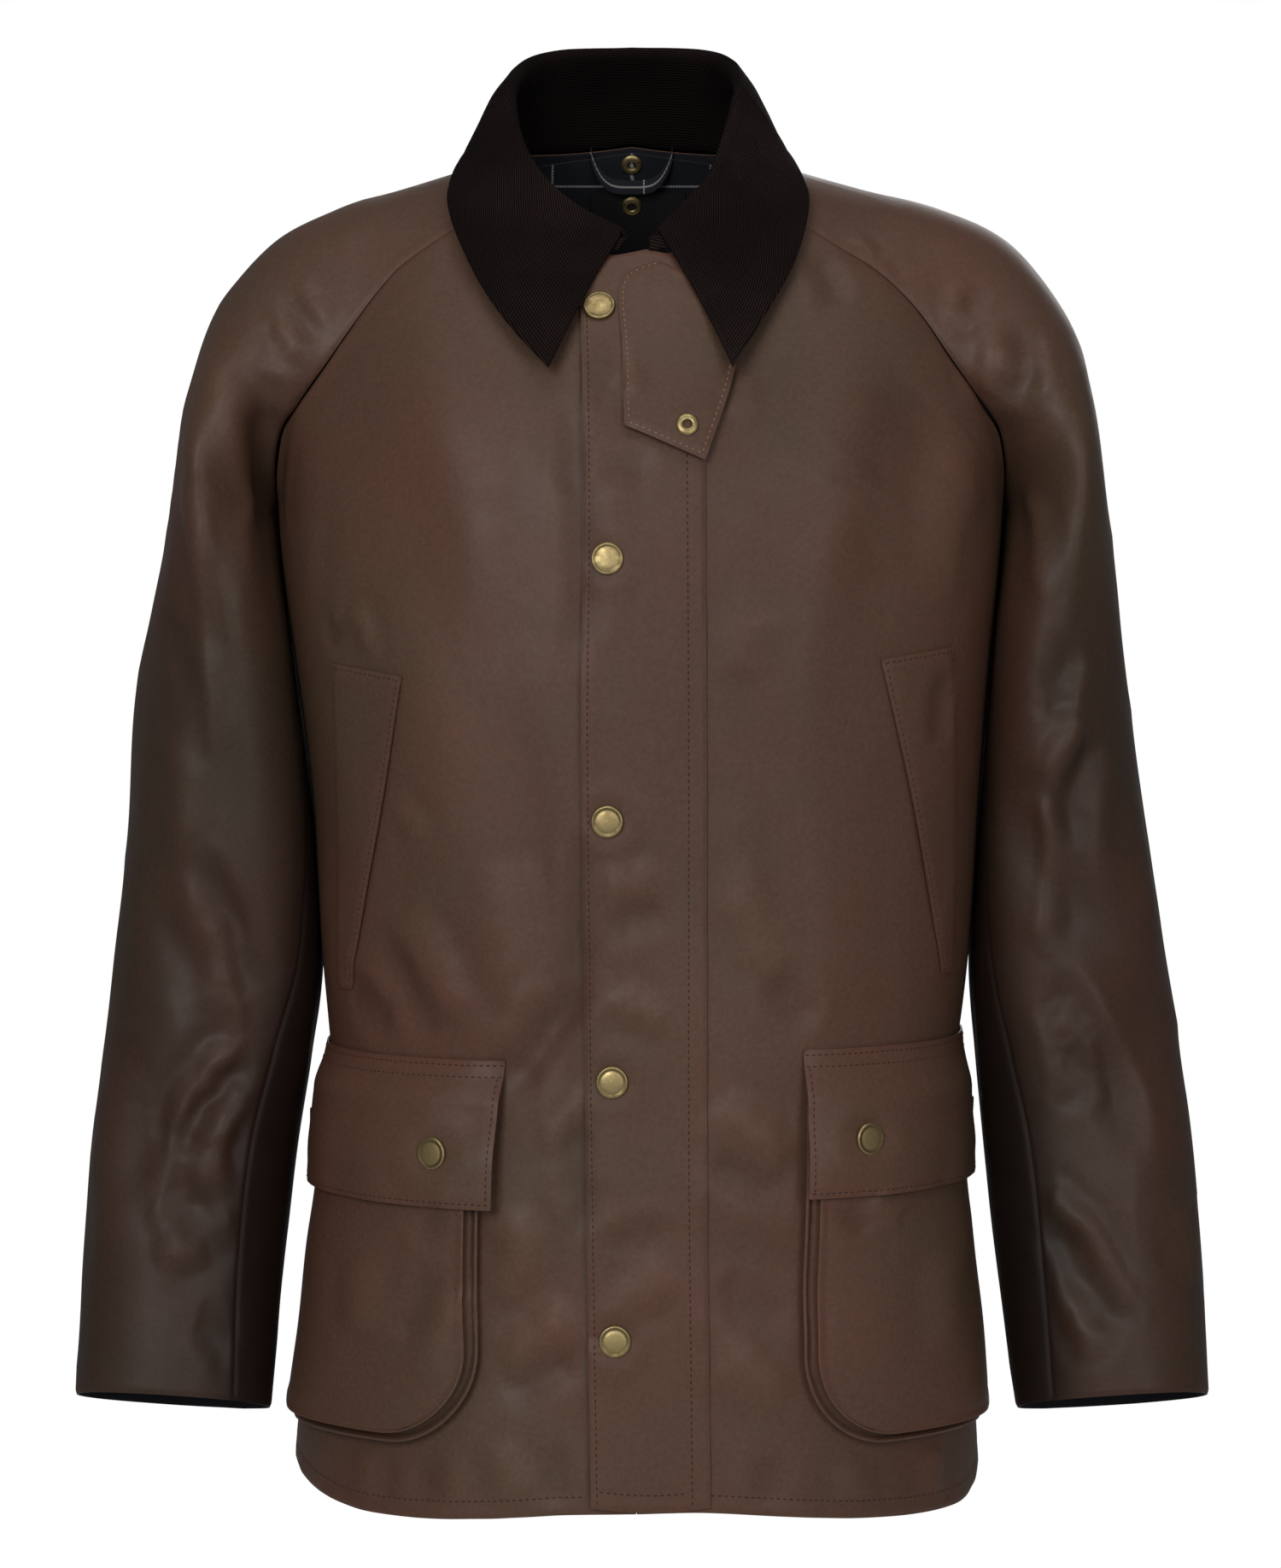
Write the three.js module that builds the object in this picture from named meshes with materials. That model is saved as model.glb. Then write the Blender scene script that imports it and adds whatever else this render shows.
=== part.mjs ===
// A waxed cotton country jacket, buttoned up and filled out as if worn, with nobody in it.
// Millimetres, +Z up, the front faces -Y and the wearer's left is +X. The origin lies between the
// shoulders at the base of the neck, where a wearer would hold the jacket up.
// Cloth is a thin wall: each panel is a grid of points on the jacket's surface and the same grid
// moved inwards, closed round its edges. What lies on a panel uses the panel's points, moved out.
import * as THREE from "three";

// Walls and clearances
const CLOTH = 1.6; // waxed cotton with its lining
const PLY = 1.8; // two layers of waxed cotton, as in the fly, flaps and tab
const CORD = 2.6; // two layers of corduroy
const LINING = 1.0;
const SEAM = 0.3; // between the edges of two panels
const LIFT = 0.5; // between a panel and what is sewn onto it

// Lengths down the body, from the base of the neck
const UNDERARM = -188;
const NECK_FRONT = -48;
const NECK_BACK = 20;
const SIDE_SEAM_BACK = 24; // how far behind the widest point the side seam runs, along the cloth

// The body as level rings: half width, depth to the front and to the back, and sideways lean.
const POWER = 2.3; // above 2 the rings are squarer than an ellipse
const BODY = [
  { z: 30, half: 78, front: 34, back: 54, lean: -5 },
  { z: 14, half: 96, front: 44, back: 65, lean: -5 },
  { z: 0, half: 114, front: 54, back: 74, lean: -5 },
  { z: -20, half: 138, front: 68, back: 86, lean: -5 },
  { z: -45, half: 161, front: 83, back: 98, lean: -4 },
  { z: -75, half: 182, front: 104, back: 110, lean: -2 },
  { z: -110, half: 199, front: 124, back: 121, lean: 0 },
  { z: -145, half: 204, front: 137, back: 129, lean: 0 },
  { z: -190, half: 200, front: 146, back: 135, lean: 0 },
  { z: -260, half: 194, front: 150, back: 136, lean: 1 },
  { z: -340, half: 186, front: 149, back: 130, lean: 3 },
  { z: -430, half: 180, front: 147, back: 123, lean: 3 },
  { z: -465, half: 176, front: 147, back: 123, lean: 3 },
  { z: -500, half: 172, front: 147, back: 124, lean: 2 },
  { z: -545, half: 171, front: 149, back: 128, lean: 1 },
  { z: -595, half: 178, front: 150, back: 132, lean: 0 },
  { z: -640, half: 184, front: 151, back: 137, lean: 0 },
  { z: -690, half: 190, front: 152, back: 141, lean: -2 },
  { z: -750, half: 194, front: 153, back: 146, lean: -2 },
];

// The hem's height along the cloth from the centre front, on the wearer's right and left. The
// last row is the centre back.
const HEM = [
  { s: 0, right: -720, left: -720 },
  { s: 35, right: -720.5, left: -719.5 },
  { s: 80, right: -724, left: -723 },
  { s: 125, right: -726.5, left: -727 },
  { s: 175, right: -725.5, left: -729 },
  { s: 215, right: -719, left: -728 },
  { s: 260, right: -712, left: -717 },
  { s: 340, right: -713, left: -713 },
  { s: 560, right: -712, left: -712 },
];

// The raglan sleeve from the neck to the underarm: where its front and back seams lie on the body
// (fx, fz and bx, bz), its ridge over the shoulder (x, y, z), and the direction and reach with
// which the cloth leaves each seam. Reach is in millimetres at the seam and at the ridge.
const RAGLAN = [
  { fx: 80, fz: -22, bx: 60, bz: 15, x: 84, y: -2, z: 5, lean: -5,
    fdx: 0.1, fdy: 0.7, fdz: 0.7, bdx: 0.5, bdy: -0.8, bdz: 0.15,
    fOut: 24, fTop: 22, bOut: 20, bTop: 18 },
  { fx: 110, fz: -41, bx: 95, bz: -8, x: 128, y: 2, z: -8, lean: -4,
    fdx: 0.3, fdy: 0.6, fdz: 0.72, bdx: 0.45, bdy: -0.8, bdz: 0.35,
    fOut: 28, fTop: 26, bOut: 24, bTop: 24 },
  { fx: 131, fz: -56, bx: 122, bz: -34, x: 167, y: 4, z: -19, lean: -2,
    fdx: 0.5, fdy: 0.5, fdz: 0.68, bdx: 0.6, bdy: -0.55, bdz: 0.5,
    fOut: 34, fTop: 34, bOut: 30, bTop: 30 },
  { fx: 152, fz: -78, bx: 148, bz: -66, x: 205, y: 5, z: -38, lean: 0,
    fdx: 0.75, fdy: 0.25, fdz: 0.6, bdx: 0.78, bdy: -0.2, bdz: 0.55,
    fOut: 42, fTop: 46, bOut: 40, bTop: 46 },
  { fx: 170, fz: -102, bx: 170, bz: -98, x: 236, y: 5, z: -76, lean: 0,
    fdx: 0.9, fdy: -0.12, fdz: 0.38, bdx: 0.9, bdy: 0.15, bdz: 0.38,
    fOut: 52, fTop: 62, bOut: 52, bTop: 60 },
  { fx: 188, fz: -129, bx: 190, bz: -130, x: 250.5, y: 4, z: -122, lean: 0,
    fdx: 0.84, fdy: -0.5, fdz: 0.12, bdx: 0.84, bdy: 0.52, bdz: 0.1,
    fOut: 60, fTop: 80, bOut: 60, bTop: 78 },
  { fx: 198, fz: -148, bx: 198, bz: -150, x: 256, y: 2, z: -162, lean: 0,
    fdx: 0.55, fdy: -0.84, fdz: 0, bdx: 0.55, bdy: 0.84, bdz: 0,
    fOut: 84, fTop: 98, bOut: 84, bTop: 96 },
  { fx: 200, fz: UNDERARM, bx: 200, bz: UNDERARM, x: 263, y: 0, z: -206, lean: 0,
    fdx: 0.14, fdy: -1, fdz: 0, bdx: 0.14, bdy: 1, bdz: 0,
    fOut: 116, fTop: 114, bOut: 116, bTop: 112 },
];
const RAGLAN_END = RAGLAN.length - 1;

// The sleeve below the underarm: its inner line (ix, iy, iz) and outer line (x, y, z), how far its
// front and back stand from them, its forward tilt in degrees, how far its inner side presses
// towards the body, the sideways lean, and the share that the under sleeve takes up.
const ARM = [
  { ix: 202.5, iy: 4, iz: UNDERARM, x: 263, y: 0, z: -206,
    front: 86, back: 85, tilt: 0, hug: 0, lean: 0, under: 0 },
  { ix: 197.5, iy: 3, iz: -262, x: 272, y: -1, z: -270,
    front: 82, back: 80, tilt: 1, hug: 24, lean: 1, under: 0.1 },
  { ix: 190, iy: 0, iz: -345, x: 282.5, y: -4, z: -348,
    front: 74, back: 70, tilt: 2, hug: 28, lean: 3, under: 0.16 },
  { ix: 184.5, iy: -4, iz: -434, x: 292.5, y: -10, z: -430,
    front: 66, back: 62, tilt: 4, hug: 26, lean: 3, under: 0.24 },
  { ix: 186.5, iy: -10, iz: -490, x: 298.5, y: -15, z: -485,
    front: 62, back: 58, tilt: 6, hug: 12, lean: 1.5, under: 0.27 },
  { ix: 191.5, iy: -17, iz: -540, x: 304.5, y: -23, z: -533,
    front: 58, back: 54, tilt: 8, hug: 4, lean: 0, under: 0.29 },
  { ix: 198.5, iy: -28, iz: -610, x: 310.5, y: -34, z: -603,
    front: 54, back: 50, tilt: 11, hug: 0, lean: 0, under: 0.28 },
  { ix: 205.5, iy: -42, iz: -681, x: 313, y: -48, z: -673,
    front: 50, back: 46, tilt: 13, hug: 0, lean: 2, under: 0.26 },
];
const CUFF = RAGLAN_END + ARM.length - 1; // the sleeve's last station
const QUARTER_REACH = 4 / 3; // a cubic arch is as deep as its handles over this

// The collar, from the centre back to its front end: the crest of its roll and the edge of its
// fall. place says how far along the neck's edge the row is sewn on, lean shifts both halves to
// the wearer's right, and open is how much wider the wearer's right half is rolled.
const COLLAR = [
  { place: 0, rx: 0, ry: 67, rz: 76, ex: 0, ey: 88, ez: -4, lean: -5, open: 0 },
  { place: 0.6, rx: 40, ry: 60, rz: 74, ex: 50, ey: 82, ez: -4, lean: -5, open: 0 },
  { place: 1, rx: 59, ry: 36, rz: 66, ex: 81, ey: 50, ez: 13, lean: -6, open: 1 },
  { place: 1.5, rx: 64, ry: 2, rz: 50, ex: 90, ey: -4, ez: 10, lean: -8, open: 1 },
  { place: 1.95, rx: 58, ry: -32, rz: 22, ex: 99, ey: -54, ez: -13, lean: -7, open: 3 },
  { place: 2.3, rx: 46, ry: -56, rz: -2, ex: 90, ey: -88, ez: -46, lean: -5, open: 3 },
  { place: 2.65, rx: 28, ry: -73, rz: -20, ex: 72, ey: -114, ez: -78, lean: -4, open: 2 },
  { place: 2.9, rx: 9, ry: -82, rz: -33, ex: 49, ey: -138, ez: -109, lean: 0, open: 0 },
];
const COLLAR_END = COLLAR.length - 1;
const ROLL = 4.5; // half the width of the collar's roll

// The storm fly over the front opening, by its edges seen from the front
const FLY = [
  { z: -52, left: -33, right: 34 },
  { z: -110, left: -31, right: 34 },
  { z: -320, left: -31, right: 35 },
  { z: -520, left: -29, right: 35 },
  { z: -716, left: -26, right: 37 },
];
const FLY_PEAK = -46;
const FLY_PEAK_X = 3;

const SNAP_RADIUS = 8.7;
const SNAP_HEIGHT = 2.6;
const FLY_SNAPS = [
  { x: -22, z: -78 },
  { x: -17.5, z: -211 },
  { x: -17.5, z: -350 },
  { x: -15, z: -489 },
  { x: -13.5, z: -627 },
];
const RING_RADIUS = 6.1;
const RING_HOLE = 2.3;

// The throat tab under the wearer's left collar: rows of its left and right edges
const TAB = [
  { lx: 9, lz: -53, rx: 40, rz: -68 },
  { lx: -10.5, lz: -65, rx: 51, rz: -86 },
  { lx: -9.5, lz: -104, rx: 49, rz: -115 },
  { lx: -8.5, lz: -142, rx: 34, rz: -160 },
];
const TAB_STAND = 3; // how far its lower end stands off the fly
const TAB_RING = { x: 24.5, z: -142 };

// Bellows pockets and their flaps, measured along the cloth from the centre front. Their depth
// shrinks towards the side seam, and the mouth is narrower than the pocket.
const POCKET = {
  near: 92, far: 274, top: -503, bottom: -681, corner: 46, depth: 10, plump: 2.5, flare: 5,
};
const MOUTH = 0.62;
const MOUTH_DROP = 34; // the pocket reaches its full depth this far below its mouth
const SIDE_DEPTH = 0.5;
const FLAP = { near: 81, far: 281, top: -477, bottom: -556, topLift: 0.3, flare: 1.5 };
// How each side's flap and fasteners stand, by eye
const POCKET_SET = {
  right: { near: -4, rise: -2, snaps: [{ s: 109, z: -529 }, { s: 243, z: -526 }] },
  left: { near: 4, rise: 4, snaps: [{ s: 117, z: -521 }, { s: 245, z: -519 }] },
};

// The welt of a hand-warmer pocket: its edges seen from the front
const WELT = [
  { z: -268, outer: 167, inner: 127 },
  { z: -345, outer: 168, inner: 141.5 },
  { z: -395, outer: 168, inner: 151 },
  { z: -446, outer: 167, inner: 160 },
];
const WELT_TOP_SLOPE = 6; // how much lower its inner top corner is
const WELT_RISE = { right: 0, left: 9 };

// Inside the back of the neck
const YOKE_DEPTH = 128;
const LABEL = { half: 31, top: -3, bottom: -38 };
const LOOP = { half: 23, drop: 19, top: 22, width: 8, wall: 1.6, stand: 7 };

// Soft folds: place, lean from upright in degrees, half length, half width and height. A fold
// that is below zero is a trough. On the body, s runs along the cloth from the centre front.
const BODY_FOLDS = [
  { s: -58, z: -395, turn: 6, length: 90, width: 15, height: -4 },
  { s: -66, z: -480, turn: -38, length: 60, width: 18, height: -4.5 },
  { s: -60, z: -610, turn: -30, length: 50, width: 18, height: -3.5 },
  { s: -112, z: -330, turn: 8, length: 120, width: 26, height: 3.5 },
  { s: -150, z: -160, turn: 28, length: 100, width: 36, height: -3.5 },
  { s: -96, z: -180, turn: 14, length: 110, width: 22, height: 3 },
  { s: 150, z: -165, turn: -28, length: 100, width: 36, height: -3.5 },
  { s: 105, z: -200, turn: -16, length: 120, width: 24, height: 3.5 },
  { s: 66, z: -330, turn: 4, length: 150, width: 18, height: -2.5 },
  { s: 64, z: -590, turn: 60, length: 40, width: 18, height: -3 },
  { s: 360, z: -420, turn: 24, length: 110, width: 26, height: -4.5 },
  { s: -370, z: -400, turn: -20, length: 120, width: 28, height: -4.5 },
  { s: 400, z: -250, turn: 30, length: 90, width: 28, height: -4 },
  { s: -400, z: -250, turn: -30, length: 90, width: 28, height: -4 },
  { s: 440, z: -600, turn: 6, length: 120, width: 26, height: 4 },
  { s: -450, z: -610, turn: -6, length: 120, width: 26, height: 4 },
];

// On a sleeve, share runs from the front seam over the outside to the back seam, and turn is how
// much the share changes for each millimetre upwards. Folds are on the sleeve named by side.
const SLEEVE_FOLDS = [
  { side: -1, share: 0.3, z: -230, turn: 0.0003, length: 90, width: 0.07, height: -5 },
  { side: -1, share: 0.5, z: -285, turn: 0, length: 60, width: 0.08, height: 4 },
  { side: -1, share: 0.27, z: -425, turn: 0.0018, length: 50, width: 0.07, height: -6 },
  { side: -1, share: 0.31, z: -520, turn: -0.0016, length: 50, width: 0.07, height: -5 },
  { side: -1, share: 0.72, z: -320, turn: -0.0008, length: 90, width: 0.07, height: -5 },
  { side: -1, share: 0.68, z: -465, turn: 0.0015, length: 50, width: 0.07, height: -5 },
  { side: 1, share: 0.32, z: -250, turn: -0.0004, length: 90, width: 0.07, height: -4 },
  { side: 1, share: 0.5, z: -160, turn: 0, length: 55, width: 0.1, height: -4 },
  { side: 1, share: 0.28, z: -400, turn: -0.0016, length: 50, width: 0.07, height: -6 },
  { side: 1, share: 0.33, z: -490, turn: 0.0018, length: 50, width: 0.07, height: -5 },
  { side: 1, share: 0.7, z: -340, turn: 0.0008, length: 90, width: 0.07, height: -5 },
  { side: 1, share: 0.74, z: -500, turn: -0.0014, length: 50, width: 0.07, height: -5 },
];

const LOOKS = {
  wax: { color: 0x4b3629, roughness: 0.55, metalness: 0 },
  corduroy: { color: 0x1f1715, roughness: 0.95, metalness: 0 },
  lining: { color: 0x15171c, roughness: 0.9, metalness: 0 },
  brass: { color: 0xa08a4c, roughness: 0.35, metalness: 1 },
};

const jacket = new THREE.Group();
const V = (x, y, z) => new THREE.Vector3(x, y, z);
const mix = (a, b, t) => a + (b - a) * t;
const clamp01 = (t) => Math.min(1, Math.max(0, t));
const smooth = (t) => clamp01(t) ** 2 * (3 - 2 * clamp01(t));

// A smooth curve through one column of a table. at gives each row's place along the curve.
function column(rows, at, key) {
  const x = rows.map(at);
  const y = rows.map((row) => row[key]);
  const slope = (i) => (y[i + 1] - y[i]) / (x[i + 1] - x[i]);
  const last = rows.length - 1;
  const m = y.map((_, i) => {
    if (i === 0) return slope(0);
    if (i === last) return slope(last - 1);
    const before = Math.abs(x[i] - x[i - 1]);
    const after = Math.abs(x[i + 1] - x[i]);
    return (slope(i - 1) * after + slope(i) * before) / (before + after);
  });
  const rising = x[last] > x[0];
  return (t) => {
    let i = 0;
    while (i < last - 1 && (rising ? t > x[i + 1] : t < x[i + 1])) i++;
    const h = x[i + 1] - x[i];
    const u = (t - x[i]) / h;
    if (u < 0) return y[i] + m[i] * h * u;
    if (u > 1) return y[i + 1] + m[i + 1] * h * (u - 1);
    const v = 1 - u;
    const near = (1 + 2 * u) * y[i] + u * h * m[i];
    const far = (3 - 2 * u) * y[i + 1] - v * h * m[i + 1];
    return v * v * near + u * u * far;
  };
}

// All columns of a table at once: a function that gives a row at any place along it.
function rowsOf(rows, at) {
  const columns = Object.keys(rows[0]).map((key) => [key, column(rows, at, key)]);
  return (t) => Object.fromEntries(columns.map(([key, value]) => [key, value(t)]));
}

// The body's surface
const ringAt = rowsOf(BODY, (row) => row.z);

// A point of a ring. turn is 0 at the centre front, half a turn at the centre back.
function onRing(ring, turn) {
  const across = Math.sin(turn);
  const along = Math.cos(turn);
  const x = ring.half * Math.sign(across) * Math.abs(across) ** (2 / POWER);
  const depth = along > 0 ? ring.front : ring.back;
  const y = -depth * Math.sign(along) * Math.abs(along) ** (2 / POWER);
  return [x + ring.lean, y];
}

// For levels down the body, the length along the cloth from the centre front at each turn
const LEVEL_STEP = 6;
const TURNS = 180;
const LEVELS = [];
for (let z = BODY[0].z; z >= BODY[BODY.length - 1].z - LEVEL_STEP; z -= LEVEL_STEP) {
  const ring = ringAt(z);
  const lengths = [0];
  let [px, py] = onRing(ring, 0);
  for (let i = 1; i <= TURNS; i++) {
    const [x, y] = onRing(ring, (Math.PI * i) / TURNS);
    lengths.push(lengths[i - 1] + Math.hypot(x - px, y - py));
    [px, py] = [x, y];
  }
  LEVELS.push(lengths);
}

// Reads something off the two levels around z, and mixes them.
function betweenLevels(z, read) {
  const place = Math.min(LEVELS.length - 1.001, Math.max(0, (BODY[0].z - z) / LEVEL_STEP));
  const level = Math.floor(place);
  return mix(read(LEVELS[level]), read(LEVELS[level + 1]), place - level);
}

const halfRound = (z) => betweenLevels(z, (lengths) => lengths[TURNS]);

// Length along the cloth at a turn, and the turn at a length
function lengthAt(z, turn) {
  const place = Math.min(TURNS - 1e-6, (turn / Math.PI) * TURNS);
  const i = Math.floor(place);
  return betweenLevels(z, (lengths) => mix(lengths[i], lengths[i + 1], place - i));
}
function turnAt(z, s) {
  return betweenLevels(z, (lengths) => {
    let low = 0;
    let high = TURNS;
    while (high - low > 1) {
      const middle = (low + high) >> 1;
      if (lengths[middle] <= s) low = middle;
      else high = middle;
    }
    return (Math.PI * (low + (s - lengths[low]) / (lengths[high] - lengths[low]))) / TURNS;
  });
}

// Length along the cloth to the point that stands at x, on the front or on the back
function lengthTo(x, z, onBack = false) {
  const ring = ringAt(z);
  const reach = Math.min(1, Math.abs(x - ring.lean) / ring.half);
  const turn = Math.asin(reach ** (POWER / 2));
  return Math.sign(x - ring.lean || 1) * lengthAt(z, onBack ? Math.PI - turn : turn);
}

const SIDE_TURN = Math.PI / 2;
const sideSeam = (z) => lengthAt(z, SIDE_TURN) + SIDE_SEAM_BACK;

function bodyFold(s, z) {
  let height = 0;
  for (const fold of BODY_FOLDS) {
    const turn = THREE.MathUtils.degToRad(fold.turn);
    const across = (s - fold.s) * Math.cos(turn) + (z - fold.z) * Math.sin(turn);
    const along = (z - fold.z) * Math.cos(turn) - (s - fold.s) * Math.sin(turn);
    height += fold.height * Math.exp(-((across / fold.width) ** 2) - (along / fold.length) ** 2);
  }
  return height;
}

function plainBody(s, z) {
  const [x, y] = onRing(ringAt(z), Math.sign(s) * turnAt(z, Math.abs(s)));
  return V(x, y, z);
}

// A point of the body's outer face. s is the length along the cloth from the centre front,
// above zero on the wearer's left, and out is how far from the face the point stands.
const PROBE = 1.5;
function body(s, z, out = 0) {
  const along = plainBody(s + PROBE, z).sub(plainBody(s - PROBE, z));
  const up = plainBody(s, z + PROBE).sub(plainBody(s, z - PROBE));
  const normal = along.cross(up).normalize();
  return plainBody(s, z).addScaledVector(normal, bodyFold(s, z) + out);
}

// The raglan seams on the body, for one side, front or back
const raglanAt = rowsOf(RAGLAN, (row) => RAGLAN.indexOf(row));
const armAt = rowsOf(ARM, (row) => RAGLAN_END + ARM.indexOf(row));

function seamPlace(side, station, onBack) {
  const row = raglanAt(station);
  const x = side * (onBack ? row.bx : row.fx) + row.lean;
  const z = onBack ? row.bz : row.fz;
  return [lengthTo(x, z, onBack), z];
}
const underarm = (side) => [side * lengthAt(UNDERARM, SIDE_TURN), UNDERARM];
function seamOf(side, station, onBack) {
  const [s, z] = seamPlace(side, station, onBack);
  const [us, uz] = underarm(side);
  const settle = smooth(station - (RAGLAN_END - 1));
  return [mix(s, us, settle), mix(z, uz, settle)];
}

// The seven control points of a sleeve section: front seam, ridge and back seam, with handles
function section(side, station) {
  if (station <= RAGLAN_END) {
    const row = raglanAt(station);
    const front = body(...seamOf(side, station, false));
    const back = body(...seamOf(side, station, true));
    const ridge = V(side * row.x + row.lean, row.y, row.z);
    const leave = V(side * row.fdx, row.fdy, row.fdz).normalize();
    const arrive = V(side * row.bdx, row.bdy, row.bdz).normalize();
    return [
      front,
      front.clone().addScaledVector(leave, row.fOut),
      ridge.clone().add(V(0, -row.fTop, 0)),
      ridge,
      ridge.clone().add(V(0, row.bTop, 0)),
      back.clone().addScaledVector(arrive, row.bOut),
      back,
    ];
  }
  const row = armAt(station);
  const tilt = THREE.MathUtils.degToRad(row.tilt);
  const forward = V(0, -Math.cos(tilt), Math.sin(tilt));
  const inner = V(side * row.ix + row.lean, row.iy, row.iz);
  const outer = V(side * row.x, row.y, row.z);
  const pressed = inner.clone().add(V(-side * row.hug, 0, 0));
  return [
    inner,
    pressed.clone().addScaledVector(forward, row.front * QUARTER_REACH),
    outer.clone().addScaledVector(forward, row.front * QUARTER_REACH),
    outer,
    outer.clone().addScaledVector(forward, -row.back * QUARTER_REACH),
    pressed.clone().addScaledVector(forward, -row.back * QUARTER_REACH),
    inner,
  ];
}

function arch(a, b, c, d, t) {
  const u = 1 - t;
  return V(0, 0, 0)
    .addScaledVector(a, u * u * u)
    .addScaledVector(b, 3 * u * u * t)
    .addScaledVector(c, 3 * u * t * t)
    .addScaledVector(d, t * t * t);
}

// share runs from 0 at the front seam, over 0.5 at the ridge, to 1 at the back seam
function plainSleeve(side, station, share) {
  const p = section(side, station);
  if (share < 0.5) return arch(p[0], p[1], p[2], p[3], share * 2);
  return arch(p[3], p[4], p[5], p[6], share * 2 - 1);
}

function sleeveFold(side, share, z) {
  let height = 0;
  for (const fold of SLEEVE_FOLDS.filter((each) => each.side === side)) {
    const across = share - fold.share - (z - fold.z) * fold.turn;
    height += fold.height * Math.exp(-((across / fold.width) ** 2) - ((z - fold.z) / fold.length) ** 2);
  }
  return height;
}

const round = (share) => share - Math.floor(share);
const SHARE_PROBE = 0.004;
const STATION_PROBE = 0.02;
function sleeve(side, station, share, out = 0) {
  const closed = station > RAGLAN_END;
  const at = (share_) => (closed ? round(share_) : clamp01(share_));
  const pointAt = (station_, share_) => plainSleeve(side, station_, at(share_));
  const point = pointAt(station, share);
  const low = Math.min(station, CUFF - STATION_PROBE);
  const across = pointAt(station, share + SHARE_PROBE).sub(pointAt(station, share - SHARE_PROBE));
  const down = pointAt(low + STATION_PROBE, share).sub(pointAt(low - STATION_PROBE, share));
  const normal = across.cross(down).normalize().multiplyScalar(-side);
  const calm = smooth(Math.min(round(share), 1 - round(share)) * 12);
  return point.addScaledVector(normal, calm * sleeveFold(side, round(share), point.z) + out);
}

// A closed wall of cloth from its outer points, its inner points and four-sided faces
function wallOf(outer, inner, faces) {
  const count = outer.length;
  const triangles = [];
  const quad = (i, j, k, l) => triangles.push(i, j, k, i, k, l);
  const both = (i, j, k, l) => {
    quad(i, j, k, l);
    triangles.push(i + count, k + count, j + count, i + count, l + count, k + count);
  };
  const edges = new Map();
  for (const [i, j, k, l] of faces) {
    const shorter = outer[i].distanceTo(outer[k]) < outer[j].distanceTo(outer[l]);
    if (shorter) both(i, j, k, l);
    else both(j, k, l, i);
    for (const [p, q] of [[i, j], [j, k], [k, l], [l, i]]) {
      if (edges.has(q + "," + p)) edges.delete(q + "," + p);
      else edges.set(p + "," + q, [p, q]);
    }
  }
  for (const [p, q] of edges.values()) quad(q, p, p + count, q + count);
  const points = [...outer, ...inner];
  let volume = 0;
  for (let i = 0; i < triangles.length; i += 3) {
    const [a, b, c] = triangles.slice(i, i + 3).map((k) => points[k]);
    volume += a.dot(b.clone().cross(c));
  }
  if (volume < 0) triangles.reverse();
  const geometry = new THREE.BufferGeometry();
  const numbers = points.flatMap((point) => point.toArray());
  geometry.setAttribute("position", new THREE.Float32BufferAttribute(numbers, 3));
  geometry.setIndex(triangles);
  return geometry;
}

// The same points moved by a distance, each along the mean direction that its faces look
function moved(points, faces, distance) {
  const normals = points.map(() => V(0, 0, 0));
  for (const face of faces) {
    const across = points[face[2]].clone().sub(points[face[0]]);
    const normal = across.cross(points[face[3]].clone().sub(points[face[1]]));
    for (const i of face) normals[i].add(normal);
  }
  return points.map((point, i) => point.clone().addScaledVector(normals[i].normalize(), distance));
}

// The faces of a grid of points, row by row
function gridFaces(rows, columns) {
  const faces = [];
  for (let i = 0; i < rows - 1; i++)
    for (let j = 0; j < columns - 1; j++) {
      const corner = i * columns + j;
      faces.push([corner, corner + 1, corner + columns + 1, corner + columns]);
    }
  return faces;
}

// pointAt gives a point from two shares of the grid and its distance out of the cloth's face.
function gridWall(rows, columns, pointAt, wall) {
  const layer = (out) => {
    const points = [];
    for (let i = 0; i < rows; i++)
      for (let j = 0; j < columns; j++) points.push(pointAt(i / (rows - 1), j / (columns - 1), out));
    return points;
  };
  return wallOf(layer(0), layer(-wall), gridFaces(rows, columns));
}

function add(name, geometry, look) {
  const mesh = new THREE.Mesh(geometry, new THREE.MeshStandardMaterial(LOOKS[look]));
  mesh.name = name;
  jacket.add(mesh);
  return mesh;
}

const SIDES = [
  { name: "right", side: -1 },
  { name: "left", side: 1 },
];

// Body panels. The first rows run from the hem up to the underarm, the rest up the raglan seam.
const LOW_ROWS = 14;
const HIGH_ROWS = 9;
const ALL_ROWS = LOW_ROWS + HIGH_ROWS;
const hemAt = rowsOf(HEM, (row) => row.s);

// Each row's outer end, and its height at the centre
function rowEnds(side, row, onBack) {
  const centreTop = onBack ? NECK_BACK : NECK_FRONT;
  const hemSide = side < 0 ? "right" : "left";
  if (row <= LOW_ROWS) {
    const share = row / LOW_ROWS;
    const z = mix(hemAt(sideSeam(HEM[0].left))[hemSide], UNDERARM, share);
    const settle = smooth((share - 0.9) * 10);
    const s = mix(side * sideSeam(z), underarm(side)[0], settle);
    const centre = onBack ? HEM[HEM.length - 1].left : HEM[0].left;
    return { s, z, centre: mix(centre, UNDERARM, share), dip: 0, low: 1 - share, hemSide };
  }
  const share = (row - LOW_ROWS) / HIGH_ROWS;
  const [s, z] = seamOf(side, RAGLAN_END * (1 - share), onBack);
  const dip = share ** 2 * (onBack ? -1 : -6);
  return { s, z, centre: mix(UNDERARM, centreTop, share), dip, low: 0, hemSide };
}

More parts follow.
